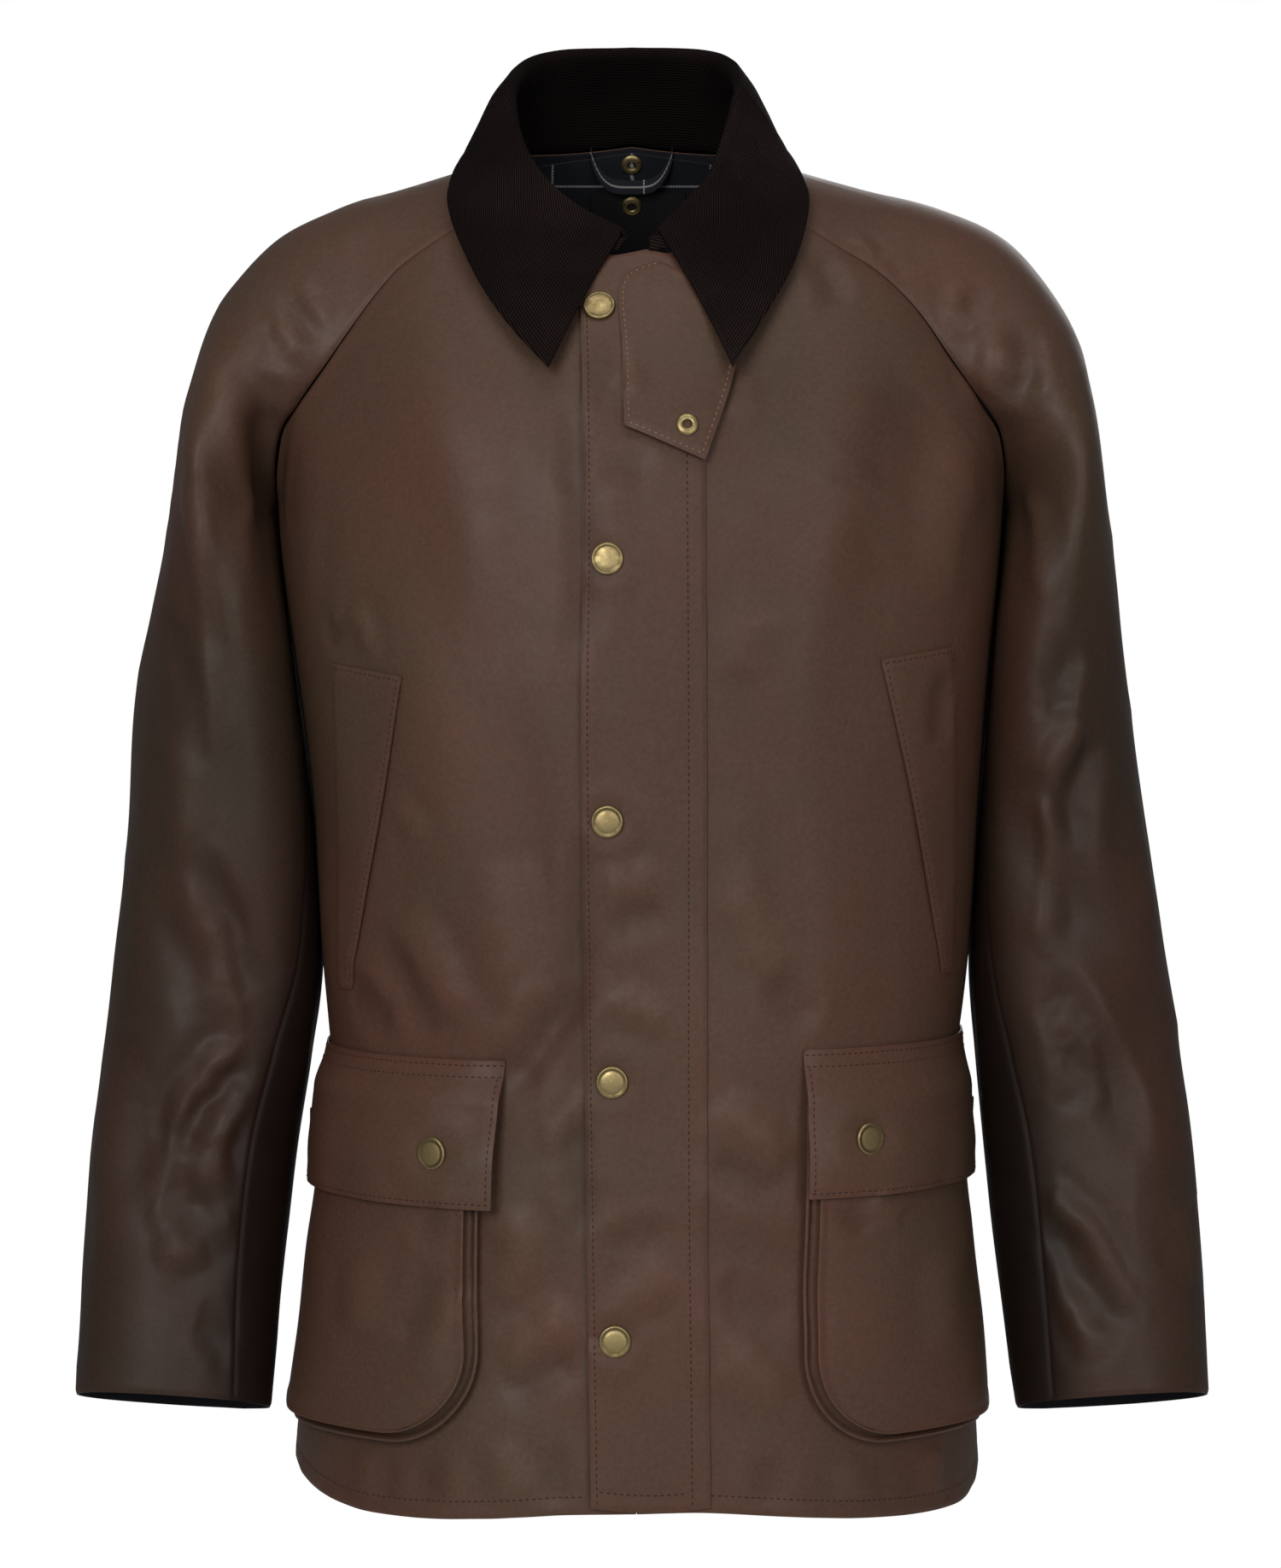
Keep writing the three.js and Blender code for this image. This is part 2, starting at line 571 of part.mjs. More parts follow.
// A point of a front or back panel. up runs from the hem to the neck, reach from the centre to
// the side.
function onPanel(side, up, reach, onBack, out = 0) {
  const end = rowEnds(side, up * ALL_ROWS, onBack);
  let z = mix(end.centre, end.z, reach) + end.dip * 4 * reach * (1 - reach);
  const whole = halfRound(end.z);
  const fromFront = SEAM + reach * (Math.abs(end.s) - 2 * SEAM);
  const fromBack = reach * (whole - Math.abs(end.s) - SEAM);
  const s = onBack ? whole - fromBack : fromFront;
  if (end.low > 0) z = mix(UNDERARM, hemAt(s)[end.hemSide], end.low);
  return body(side * (onBack ? s + halfRound(z) - whole : s), z - (up === 1 ? SEAM : 0), out);
}

const FRONT_COLUMNS = 12;
for (const { name, side } of SIDES) {
  const onFront = (up, reach, out) => onPanel(side, up, reach, false, out);
  add("front_" + name, gridWall(ALL_ROWS + 1, FRONT_COLUMNS, onFront, CLOTH), "wax");
}
const BACK_COLUMNS = 21;
add(
  "back",
  gridWall(
    ALL_ROWS + 1,
    BACK_COLUMNS,
    (up, across, out) => onPanel(across < 0.5 ? -1 : 1, up, Math.abs(across * 2 - 1), true, out),
    CLOTH,
  ),
  "wax",
);

// Sleeves. The upper part's rows meet the ends of the body's rows.
const ARM_ROWS = 15;
const SLEEVE_ROWS = HIGH_ROWS + ARM_ROWS;
const SLEEVE_COLUMNS = 17;
const UNDER_COLUMNS = 5;
const UNDER_START = HIGH_ROWS + 0.4; // the row at which the under sleeve's point begins
const SLEEVE_GAP = 0.7;

function stationOf(row) {
  if (row <= HIGH_ROWS) return (RAGLAN_END * row) / HIGH_ROWS;
  return mix(RAGLAN_END, CUFF, (row - HIGH_ROWS) / ARM_ROWS);
}

// The share at which the under sleeve meets the upper sleeve, and a gap there as shares
function underSeam(side, station) {
  const p = section(side, station);
  const under = station <= RAGLAN_END ? 0 : armAt(station).under / 2;
  const gap = (a, b) => SLEEVE_GAP / (6 * a.distanceTo(b));
  return { under, frontGap: gap(p[0], p[1]), backGap: gap(p[5], p[6]) };
}

function onUpper(side, row, across, out = 0) {
  const station = stationOf(row);
  const { under, frontGap, backGap } = underSeam(side, station);
  return sleeve(side, station, mix(under + frontGap, 1 - under - backGap, across), out);
}

function onUnder(side, row, across, out) {
  const station = stationOf(row);
  const { under } = underSeam(side, station);
  return sleeve(side, station, mix(-under, under, across), out);
}

for (const { name, side } of SIDES) {
  add(
    "sleeve_" + name,
    gridWall(
      SLEEVE_ROWS + 1,
      SLEEVE_COLUMNS,
      (down, across, out) => onUpper(side, Math.round(down * SLEEVE_ROWS), across, out),
      CLOTH,
    ),
    "wax",
  );
  add(
    "under_sleeve_" + name,
    gridWall(
      ARM_ROWS + 1,
      UNDER_COLUMNS,
      (down, across, out) => {
        const row = HIGH_ROWS + Math.round(down * ARM_ROWS);
        if (down > 0) return onUnder(side, row, across, out);
        const next = onUnder(side, HIGH_ROWS + 1, across, out);
        return onUnder(side, HIGH_ROWS, across, out).lerp(next, UNDER_START - HIGH_ROWS);
      },
      CLOTH,
    ),
    "wax",
  );
}

// The neck's edge: from 0 at the centre back, over the sleeve between 1 and 2, to 3 in front
function neckEdge(side, place) {
  if (place < 1) return onPanel(side, 1, place, true);
  if (place < 2) return sleeve(side, 0, 2 - place);
  return onPanel(side, 1, 3 - place, false);
}

// The collar: up its stand, over the roll and down its fall, from one front end to the other
const collarAt = rowsOf(COLLAR, (row) => COLLAR.indexOf(row));
const COLLAR_COLUMNS = 33;
const COLLAR_LIFT = 1.3; // the stand's lower edge over the neck's edge
function collarProfile(along) {
  const side = along < 0 ? -1 : 1;
  const row = collarAt(Math.abs(along));
  const wider = side < 0 ? row.open : -row.open;
  const seam = neckEdge(side, clamp01(row.place / 3) * 3).add(V(0, 0, COLLAR_LIFT));
  const crest = V(side * (row.rx + wider) + row.lean, row.ry, row.rz);
  const edge = V(side * row.ex + row.lean, row.ey, row.ez);
  const outward = edge.clone().sub(seam).setZ(0).normalize();
  const roll = (across, down) =>
    crest.clone().addScaledVector(outward, across * ROLL).add(V(0, 0, -down * ROLL));
  const stand = seam.clone().lerp(roll(-0.9, 1), 0.5);
  const fall = (t, out) => roll(1.25, 1.2).lerp(edge, t).addScaledVector(outward, out);
  const turn = [roll(-0.9, 1), roll(0, 0), roll(1.25, 1.2)];
  return [seam, stand, ...turn, fall(0.35, 2.2), fall(0.7, 1.6), edge];
}
function collarWall() {
  const points = [];
  for (let j = 0; j < COLLAR_COLUMNS; j++) {
    points.push(...collarProfile(mix(-COLLAR_END, COLLAR_END, j / (COLLAR_COLUMNS - 1))));
  }
  const faces = gridFaces(COLLAR_COLUMNS, points.length / COLLAR_COLUMNS);
  return wallOf(points, moved(points, faces, CORD), faces);
}
add("collar", collarWall(), "corduroy");

// The storm fly
const FLY_FACE = 0.9 + PLY;
const flyAt = rowsOf(FLY, (row) => row.z);
const FLY_ROWS = 26;
const FLY_COLUMNS = 7;
add(
  "storm_fly",
  gridWall(
    FLY_ROWS,
    FLY_COLUMNS,
    (i, j, out) => {
      const top = FLY[0].z;
      const level = mix(FLY[FLY.length - 1].z, top, i);
      const row = flyAt(level);
      const x = mix(row.left, row.right, j);
      const peak = FLY_PEAK - top - Math.abs(x - FLY_PEAK_X) * 0.22;
      const z = level + peak * smooth((i - 0.9) * 10);
      const sag = i === 0 ? -3 * Math.sin(j * 3) : 0;
      return body(lengthTo(x, z), z + sag, FLY_FACE + out);
    },
    PLY,
  ),
  "wax",
);

// The throat tab hangs over the fly from under the collar.
const tabAt = rowsOf(TAB, (row) => TAB.indexOf(row));
const tabBulge = (across) => 0.5 * Math.sin(across * Math.PI);
const tabFace = (down, across) => FLY_FACE + LIFT + PLY + TAB_STAND * down ** 2 + tabBulge(across);
add(
  "throat_tab",
  gridWall(
    13,
    8,
    (i, j, out) => {
      const row = tabAt(i * (TAB.length - 1));
      const x = mix(row.lx, row.rx, j);
      const z = mix(row.lz, row.rz, j);
      return body(lengthTo(x, z), z, tabFace(i, j) + out);
    },
    PLY,
  ),
  "wax",
);

// Bellows pockets: a face with rounded lower corners, and a pleated gusset round three sides
function pocketHalf(z) {
  const half = (POCKET.far - POCKET.near) / 2;
  const below = clamp01((POCKET.bottom + POCKET.corner - z) / POCKET.corner);
  return half - POCKET.corner * (1 - Math.sqrt(1 - below * below));
}
const POCKET_ROWS = [0, 0.2, 0.4, 0.6, 0.76, 0.84, 0.9, 0.95, 0.985, 1];
const POCKET_COLUMNS = 11;
// The gusset from the face's edge to the seam: how far outside the face's edge, and its height
const GUSSET = [
  { out: -1.5, height: 0.62 },
  { out: POCKET.flare, height: 0.5 },
  { out: 1.5, height: 0.0 },
];
const POCKET_BASE = LIFT + CLOTH;
const acrossPocket = (s) => clamp01((s - POCKET.near) / (POCKET.far - POCKET.near));
const plumpAt = (s) => POCKET.plump * Math.sin(Math.PI * acrossPocket(s));
function depthAt(s, z) {
  const mouth = mix(MOUTH, 1, smooth((POCKET.top - z) / MOUTH_DROP));
  return POCKET.depth * mouth * mix(1, SIDE_DEPTH, smooth(acrossPocket(s) * 2 - 1));
}
function pocketWall(side) {
  const centre = (POCKET.near + POCKET.far) / 2;
  const plan = [];
  const faces = gridFaces(POCKET_ROWS.length, POCKET_COLUMNS);
  for (const share of POCKET_ROWS) {
    const z = mix(POCKET.top, POCKET.bottom, share);
    for (let j = 0; j < POCKET_COLUMNS; j++) {
      const across = (2 * j) / (POCKET_COLUMNS - 1) - 1;
      plan.push({ s: centre + pocketHalf(z) * across, z, height: 1 });
    }
  }
  const rows = POCKET_ROWS.length;
  const rim = [];
  for (let i = 0; i < rows; i++) rim.push(i * POCKET_COLUMNS);
  for (let j = 1; j < POCKET_COLUMNS; j++) rim.push((rows - 1) * POCKET_COLUMNS + j);
  for (let i = rows - 2; i >= 0; i--) rim.push(i * POCKET_COLUMNS + POCKET_COLUMNS - 1);
  let before = rim;
  for (const step of GUSSET) {
    const ring = rim.map((index, k) => {
      const here = plan[index];
      const from = plan[rim[Math.max(0, k - 1)]];
      const to = plan[rim[Math.min(rim.length - 1, k + 1)]];
      const length = Math.hypot(to.s - from.s, to.z - from.z);
      const atTop = k === 0 || k === rim.length - 1;
      const outS = (to.z - from.z) / length;
      const outZ = atTop ? 0 : -(to.s - from.s) / length;
      plan.push({ s: here.s + outS * step.out, z: here.z + outZ * step.out, height: step.height });
      return plan.length - 1;
    });
    for (let k = 0; k < ring.length - 1; k++) {
      faces.push([before[k], before[k + 1], ring[k + 1], ring[k]]);
    }
    before = ring;
  }
  const points = plan.map(({ s, z, height }) => {
    const plump = height === 1 ? plumpAt(s) : 0;
    return body(side * s, z, POCKET_BASE + height * depthAt(s, z) + plump);
  });
  return wallOf(points, moved(points, faces, side * CLOTH), faces);
}

function snapCap() {
  const rim = SNAP_RADIUS;
  const profile = [
    [0, 0],
    [rim - 0.8, 0],
    [rim, 0.8],
    [rim - 0.1, SNAP_HEIGHT - 0.5],
    [rim - 0.7, SNAP_HEIGHT],
    [rim - 1.5, SNAP_HEIGHT - 0.4],
    [0, SNAP_HEIGHT - 0.2],
  ];
  return new THREE.LatheGeometry(profile.map(([x, y]) => new THREE.Vector2(x, y)), 16);
}
function ringCap() {
  const profile = [
    [RING_HOLE, 0],
    [RING_RADIUS, 0],
    [RING_RADIUS, 0.6],
    [mix(RING_HOLE, RING_RADIUS, 0.6), 1.5],
    [RING_HOLE + 0.6, 1.3],
    [RING_HOLE, 0.9],
    [RING_HOLE, 0],
  ];
  return new THREE.LatheGeometry(profile.map(([x, y]) => new THREE.Vector2(x, y)), 16);
}

// Places a fastener on the body's face. facing is -1 inside the jacket.
function fasten(name, geometry, s, z, out, facing = 1) {
  const mesh = add(name, geometry, "brass");
  const here = body(s, z, out);
  const normal = body(s, z, out + facing).sub(here).normalize();
  mesh.position.copy(here);
  mesh.quaternion.setFromUnitVectors(V(0, 1, 0), normal);
}

const FLAP_ROWS = 7;
const FLAP_COLUMNS = 14;
// The flap's outer face at a place on it: flat on the front at its seam, then over the pocket
function flapFace(s, z, rise) {
  const overPocket = POCKET_BASE + depthAt(s, z) + plumpAt(s) + 1 + PLY;
  const below = FLAP.top + rise - z;
  const share = smooth(below / (FLAP.top + rise - POCKET.top));
  const flare = (FLAP.flare * below) / (FLAP.top - FLAP.bottom);
  return mix(LIFT + PLY + FLAP.topLift, overPocket, share) + flare;
}
const weltAt = rowsOf(WELT, (row) => row.z);
for (const { name, side } of SIDES) {
  const set = POCKET_SET[name];
  add("pocket_" + name, pocketWall(side), "wax");
  add(
    "pocket_flap_" + name,
    gridWall(
      FLAP_ROWS,
      FLAP_COLUMNS,
      (i, j, out) => {
        const s = mix(FLAP.near + set.near, FLAP.far, j);
        const z = mix(FLAP.top, FLAP.bottom, i) + set.rise;
        return body(side * s, z, flapFace(s, z, set.rise) + out);
      },
      PLY,
    ),
    "wax",
  );
  set.snaps.forEach((snap, k) => {
    const out = flapFace(snap.s, snap.z, set.rise) + 1.1;
    fasten(`pocket_snap_${name}_${k + 1}`, snapCap(), side * snap.s, snap.z, out);
  });
  add(
    "welt_" + name,
    gridWall(
      9,
      4,
      (i, j, out) => {
        const level = mix(WELT[0].z, WELT[WELT.length - 1].z, i);
        const row = weltAt(level);
        const x = side * mix(row.outer, row.inner, j) + ringAt(level).lean;
        const z = level + WELT_RISE[name] - WELT_TOP_SLOPE * j * (1 - i);
        return body(lengthTo(x, z), z, LIFT + CLOTH + out);
      },
      CLOTH,
    ),
    "wax",
  );
}

FLY_SNAPS.forEach(({ x, z }, k) => {
  fasten("fly_snap_" + (k + 1), snapCap(), lengthTo(x, z), z, FLY_FACE + LIFT);
});
const tabRingAt = lengthTo(TAB_RING.x, TAB_RING.z);
fasten("tab_ring", ringCap(), tabRingAt, TAB_RING.z, tabFace(0.9, 0.5) + LIFT);

// Inside the neck: the lining of the upper back, a bare label, and a loop to hang the jacket by
const liningFace = -CLOTH - 1.5;
add(
  "lining_back",
  gridWall(
    8,
    15,
    (i, j, out) => {
      const across = j * 2 - 1;
      const side = across < 0 ? -1 : 1;
      const reach = Math.abs(across);
      const station = mix(0.15, 4.2, 1 - i);
      const [seamS, seamZ] = seamOf(side, station, true);
      const top = mix(NECK_BACK - YOKE_DEPTH, NECK_BACK - 2, i);
      const z = mix(top, seamZ - 1, reach);
      const fromCentre = reach * (halfRound(seamZ) - Math.abs(seamS) - 13);
      return body(side * (halfRound(z) - fromCentre), z, liningFace + out);
    },
    LINING,
  ),
  "lining",
);
const LABEL_FACE = liningFace - LINING - LIFT;
const centreBack = (x, z) => halfRound(z) - x;
add(
  "label",
  gridWall(
    4,
    6,
    (i, j, out) => {
      const z = mix(LABEL.bottom, LABEL.top, i);
      return body(centreBack(mix(-LABEL.half, LABEL.half, j), z), z, LABEL_FACE + out);
    },
    LINING,
  ),
  "lining",
);
fasten("label_ring", ringCap(), centreBack(0, -10), -10, LABEL_FACE - LINING - LIFT, -1);
fasten("neck_ring", ringCap(), centreBack(0, 12), 12, liningFace - LINING - LIFT, -1);
const LOOP_STEPS = 10;
function hangerLoop() {
  const points = [];
  for (let i = 0; i <= LOOP_STEPS; i++) {
    const u = (i / LOOP_STEPS) * 2 - 1;
    const x = LOOP.half * u - 5;
    const z = LOOP.top - 6 - LOOP.drop * (1 - u ** 4);
    const wallY = body(halfRound(z), z, LABEL_FACE - LINING).y;
    const stand = LOOP.stand * (1 - u ** 6) + 0.8;
    points.push(V(x, wallY - stand, z - LOOP.width / 2));
    points.push(V(x, wallY - stand, z + LOOP.width / 2));
  }
  const faces = gridFaces(LOOP_STEPS + 1, 2);
  return wallOf(points, moved(points, faces, -LOOP.wall), faces);
}
add("hanger_loop", hangerLoop(), "lining");

export default jacket;
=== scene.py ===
# A waxed cotton country jacket, buttoned up and filled out as if worn, dressed around its packed
# solids. Lengths are in millimetres until a mesh is made. +Z is up, the front faces -Y, and the
# wearer's left is +X. Each panel stands on the same smooth surface as its solid, and adds the
# creases, the sewing and the cloth. Places seen in the photograph are given in its pixels.
import math

import bpy
import numpy as np
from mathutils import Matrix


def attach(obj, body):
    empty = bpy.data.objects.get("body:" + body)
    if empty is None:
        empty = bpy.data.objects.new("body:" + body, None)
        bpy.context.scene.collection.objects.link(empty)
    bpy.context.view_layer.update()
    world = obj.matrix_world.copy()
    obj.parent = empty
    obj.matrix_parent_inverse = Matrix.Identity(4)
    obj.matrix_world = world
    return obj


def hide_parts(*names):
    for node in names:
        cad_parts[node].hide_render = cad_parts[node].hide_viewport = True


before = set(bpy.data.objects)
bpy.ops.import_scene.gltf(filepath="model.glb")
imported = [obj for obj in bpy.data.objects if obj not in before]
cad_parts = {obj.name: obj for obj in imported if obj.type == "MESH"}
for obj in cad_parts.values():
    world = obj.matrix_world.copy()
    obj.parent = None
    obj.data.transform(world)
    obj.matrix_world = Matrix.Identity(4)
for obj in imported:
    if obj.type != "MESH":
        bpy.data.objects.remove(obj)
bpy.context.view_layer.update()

MM = 0.001
UP = np.array([0.0, 0.0, 1.0])

# The camera stands level with the chest, a little above, and looks straight at the front.
PHOTO_WIDTH = 1500
PHOTO_HEIGHT = 1836
AIM_Z = -338
CAMERA_DISTANCE = 3000
CAMERA_RISE = math.radians(3)
LENS = 123.5
SENSOR = 36
FOCAL_PIXELS = LENS / SENSOR * PHOTO_HEIGHT


def make_camera():
    data = bpy.data.cameras.new("camera")
    data.lens = LENS
    data.sensor_width = SENSOR
    camera = bpy.data.objects.new("camera", data)
    camera.location = (
        0,
        -CAMERA_DISTANCE * math.cos(CAMERA_RISE) * MM,
        (AIM_Z + CAMERA_DISTANCE * math.sin(CAMERA_RISE)) * MM,
    )
    camera.rotation_euler = (math.pi / 2 - CAMERA_RISE, 0, 0)
    bpy.context.scene.collection.objects.link(camera)
    bpy.context.scene.camera = camera


def seen_at(points):
    """Where points stand in the photograph, as its columns and rows of pixels."""
    x, y, z = points[..., 0], points[..., 1], points[..., 2] - AIM_Z
    height = y * math.sin(CAMERA_RISE) + z * math.cos(CAMERA_RISE)
    away = CAMERA_DISTANCE + y * math.cos(CAMERA_RISE) - z * math.sin(CAMERA_RISE)
    across = PHOTO_WIDTH / 2 + FOCAL_PIXELS * x / away
    return across, PHOTO_HEIGHT / 2 - FOCAL_PIXELS * height / away


# Small sums used all over
def smooth(t):
    t = np.clip(t, 0.0, 1.0)
    return t * t * (3 - 2 * t)


def mix(a, b, t):
    return a + (b - a) * t


def bell(distance, width):
    return np.exp(-((distance / width) ** 2))


def unit(vectors):
    length = np.linalg.norm(vectors, axis=-1, keepdims=True)
    return vectors / np.maximum(length, 1e-9)


def curves(names, rows, places=None):
    """Reads every column of a table at any place along it, on a smooth curve. Without places,
    the first column gives each row's place."""
    columns = np.array(rows, dtype=float).T
    x = columns[0] if places is None else np.array(places, dtype=float)
    rising = 1.0 if x[-1] > x[0] else -1.0
    step = np.diff(x)
    slope = np.diff(columns, axis=1) / step
    reach = np.abs(step)
    middle = slope[:, :-1] * reach[1:] + slope[:, 1:] * reach[:-1]
    middle = middle / (reach[1:] + reach[:-1])
    tangent = np.concatenate([slope[:, :1], middle, slope[:, -1:]], axis=1)

    def at(place):
        place = np.asarray(place, dtype=float)
        i = np.clip(np.searchsorted(rising * x, rising * place) - 1, 0, len(x) - 2)
        h = step[i]
        u = (place - x[i]) / h
        t = np.clip(u, 0.0, 1.0)
        v = 1 - t
        near = (1 + 2 * t) * columns[:, i] + t * h * tangent[:, i]
        far = (3 - 2 * t) * columns[:, i + 1] - v * h * tangent[:, i + 1]
        beyond = (u - t) * h * np.where(u < 0, tangent[:, i], tangent[:, i + 1])
        return dict(zip(names, v * v * near + t * t * far + beyond))

    return at


# Walls and clearances, as on the solids
CLOTH = 1.6
PLY = 1.8
CORD = 2.6
LINING = 1.0
SEAM = 0.1
LIFT = 0.5

UNDERARM = -188
NECK_FRONT = -48
NECK_BACK = 20
SIDE_SEAM_BACK = 24

# The body as level rings: half width, depth to the front and to the back, and sideways lean
POWER = 2.3
BODY = (
    # z, half, front, back, lean
    (30, 78, 34, 54, -5),
    (14, 96, 44, 65, -5),
    (0, 114, 54, 74, -5),
    (-20, 138, 68, 86, -5),
    (-45, 161, 83, 98, -4),
    (-75, 182, 104, 110, -2),
    (-110, 199, 124, 121, 0),
    (-145, 204, 137, 129, 0),
    (-190, 200, 146, 135, 0),
    (-260, 194, 150, 136, 1),
    (-340, 186, 149, 130, 3),
    (-430, 180, 147, 123, 3),
    (-465, 176, 147, 123, 3),
    (-500, 172, 147, 124, 2),
    (-545, 171, 149, 128, 1),
    (-595, 178, 150, 132, 0),
    (-640, 184, 151, 137, 0),
    (-690, 190, 152, 141, -2),
    (-750, 194, 153, 146, -2),
)
BODY_TOP = BODY[0][0]
BODY_LOW = BODY[-1][0]

# The hem's height along the cloth from the centre front, on the wearer's right and left
HEM = (
    # s, right, left
    (0, -720, -720),
    (35, -720.5, -719.5),
    (80, -724, -723),
    (125, -726.5, -727),
    (175, -725.5, -729),
    (215, -719, -728),
    (260, -712, -717),
    (340, -713, -713),
    (560, -712, -712),
)
HEM_FRONT = -720
HEM_BACK = -712

# The raglan sleeve from the neck to the underarm: its seams on the body, its ridge over the
# shoulder, and the direction and reach with which the cloth leaves each seam
RAGLAN_NAMES = (
    "fx", "fz", "bx", "bz", "x", "y", "z", "lean",
    "fdx", "fdy", "fdz", "bdx", "bdy", "bdz", "f_out", "f_top", "b_out", "b_top",
)
RAGLAN = (
    (80, -22, 60, 15, 84, -2, 5, -5, 0.1, 0.7, 0.7, 0.5, -0.8, 0.15, 24, 22, 20, 18),
    (110, -41, 95, -8, 128, 2, -8, -4, 0.3, 0.6, 0.72, 0.45, -0.8, 0.35, 28, 26, 24, 24),
    (131, -56, 122, -34, 167, 4, -19, -2, 0.5, 0.5, 0.68, 0.6, -0.55, 0.5, 34, 34, 30, 30),
    (152, -78, 148, -66, 205, 5, -38, 0, 0.75, 0.25, 0.6, 0.78, -0.2, 0.55, 42, 46, 40, 46),
    (170, -102, 170, -98, 236, 5, -76, 0, 0.9, -0.12, 0.38, 0.9, 0.15, 0.38, 52, 62, 52, 60),
    (188, -129, 190, -130, 250.5, 4, -122, 0, 0.84, -0.5, 0.12, 0.84, 0.52, 0.1, 60, 80, 60, 78),
    (198, -148, 198, -150, 256, 2, -162, 0, 0.55, -0.84, 0, 0.55, 0.84, 0, 84, 98, 84, 96),
    (200, UNDERARM, 200, UNDERARM, 263, 0, -206, 0, 0.14, -1, 0, 0.14, 1, 0, 116, 114, 116, 112),
)
RAGLAN_END = len(RAGLAN) - 1

# The sleeve below the underarm: its inner and outer lines, how far its front and back stand from
# them, its forward tilt in degrees, how far it presses towards the body, its sideways lean, and
# the share that the under sleeve takes up
ARM_NAMES = ("ix", "iy", "iz", "x", "y", "z", "front", "back", "tilt", "hug", "lean", "under")
ARM = (
    (202.5, 4, UNDERARM, 263, 0, -206, 86, 85, 0, 0, 0, 0),
    (197.5, 3, -262, 272, -1, -270, 82, 80, 1, 24, 1, 0.1),
    (190, 0, -345, 282.5, -4, -348, 74, 70, 2, 28, 3, 0.16),
    (184.5, -4, -434, 292.5, -10, -430, 66, 62, 4, 26, 3, 0.24),
    (186.5, -10, -490, 298.5, -15, -485, 62, 58, 6, 12, 1.5, 0.27),
    (191.5, -17, -540, 304.5, -23, -533, 58, 54, 8, 4, 0, 0.29),
    (198.5, -28, -610, 310.5, -34, -603, 54, 50, 11, 0, 0, 0.28),
    (205.5, -42, -681, 313, -48, -673, 50, 46, 13, 0, 2, 0.26),
)
CUFF = RAGLAN_END + len(ARM) - 1
QUARTER_REACH = 4 / 3
# The solids' rows along a sleeve, which place the under sleeve's point
HIGH_ROWS = 9
LOW_ROWS = 14
ARM_ROWS = 15
UNDER_START = 0.4
SLEEVE_GAP = 0.2

# The collar from the centre back to its front end: where it is sewn on, the crest of its roll
# and the edge of its fall
COLLAR_NAMES = ("place", "rx", "ry", "rz", "ex", "ey", "ez", "lean", "open")
COLLAR = (
    (0, 0, 67, 76, 0, 88, -4, -5, 0),
    (0.6, 40, 60, 74, 50, 82, -4, -5, 0),
    (1, 59, 36, 66, 81, 50, 13, -6, 1),
    (1.5, 64, 2, 50, 90, -4, 10, -8, 1),
    (1.95, 58, -32, 22, 99, -54, -13, -7, 3),
    (2.3, 46, -56, -2, 90, -88, -46, -5, 3),
    (2.65, 28, -73, -20, 72, -114, -78, -4, 2),
    (2.9, 9, -82, -33, 49, -138, -109, 0, 0),
)
COLLAR_END = len(COLLAR) - 1
COLLAR_LIFT = 1.3
ROLL = 4.5

# The storm fly by its edges seen from the front, its pointed top, and its snaps
FLY = (
    # z, left, right
    (-52, -33, 34),
    (-110, -31, 34),
    (-320, -31, 35),
    (-520, -29, 35),
    (-716, -26, 37),
)
FLY_TOP = FLY[0][0]
FLY_LOW = FLY[-1][0]
FLY_PEAK = -46
FLY_PEAK_X = 3
FLY_FACE = 0.9 + PLY
FLY_SNAPS = ((-22, -78), (-17.5, -211), (-17.5, -350), (-15, -489), (-13.5, -627))

# The throat tab: rows of its left and right edges
TAB = (
    # left x, left z, right x, right z
    (9, -53, 40, -68),
    (-10.5, -65, 51, -86),
    (-9.5, -104, 49, -115),
    (-8.5, -142, 34, -160),
)
TAB_STAND = 3
TAB_RING = (24.5, -142)

# Bellows pockets and their flaps, along the cloth from the centre front
POCKET_NEAR = 92
POCKET_FAR = 274
POCKET_TOP = -503
POCKET_LOW = -681
POCKET_CORNER = 46
POCKET_DEPTH = 10
POCKET_PLUMP = 2.5
POCKET_BASE = LIFT + CLOTH
MOUTH = 0.62
MOUTH_DROP = 34
SIDE_DEPTH = 0.3
FLAP_NEAR = 81
FLAP_FAR = 281
FLAP_TOP = -477
FLAP_LOW = -556
FLAP_LIFT = 0.3
FLAP_FLARE = 1.5
POCKET_SETS = {
    "right": {"side": -1, "near": -4, "rise": -2, "snaps": ((109, -529), (243, -526))},
    "left": {"side": 1, "near": 4, "rise": 4, "snaps": ((117, -521), (245, -519))},
}

# The welts of the hand-warmer pockets
WELT = (
    # z, outer, inner
    (-268, 167, 127),
    (-345, 168, 141.5),
    (-395, 168, 151),
    (-446, 167, 160),
)
WELT_TOP = WELT[0][0]
WELT_LOW = WELT[-1][0]
WELT_TOP_SLOPE = 6
WELT_RISE = {"right": 0, "left": 9}

# Inside the back of the neck
YOKE_DEPTH = 128
LINING_FACE = -CLOTH - 1.5
LABEL_FACE = LINING_FACE - LINING - LIFT
LABEL_HALF = 31
LABEL_TOP = -3
LABEL_LOW = -38
LOOP_HALF = 23
LOOP_DROP = 19
LOOP_TOP = 22
LOOP_WIDTH = 8
LOOP_WALL = 1.6
LOOP_STAND = 7

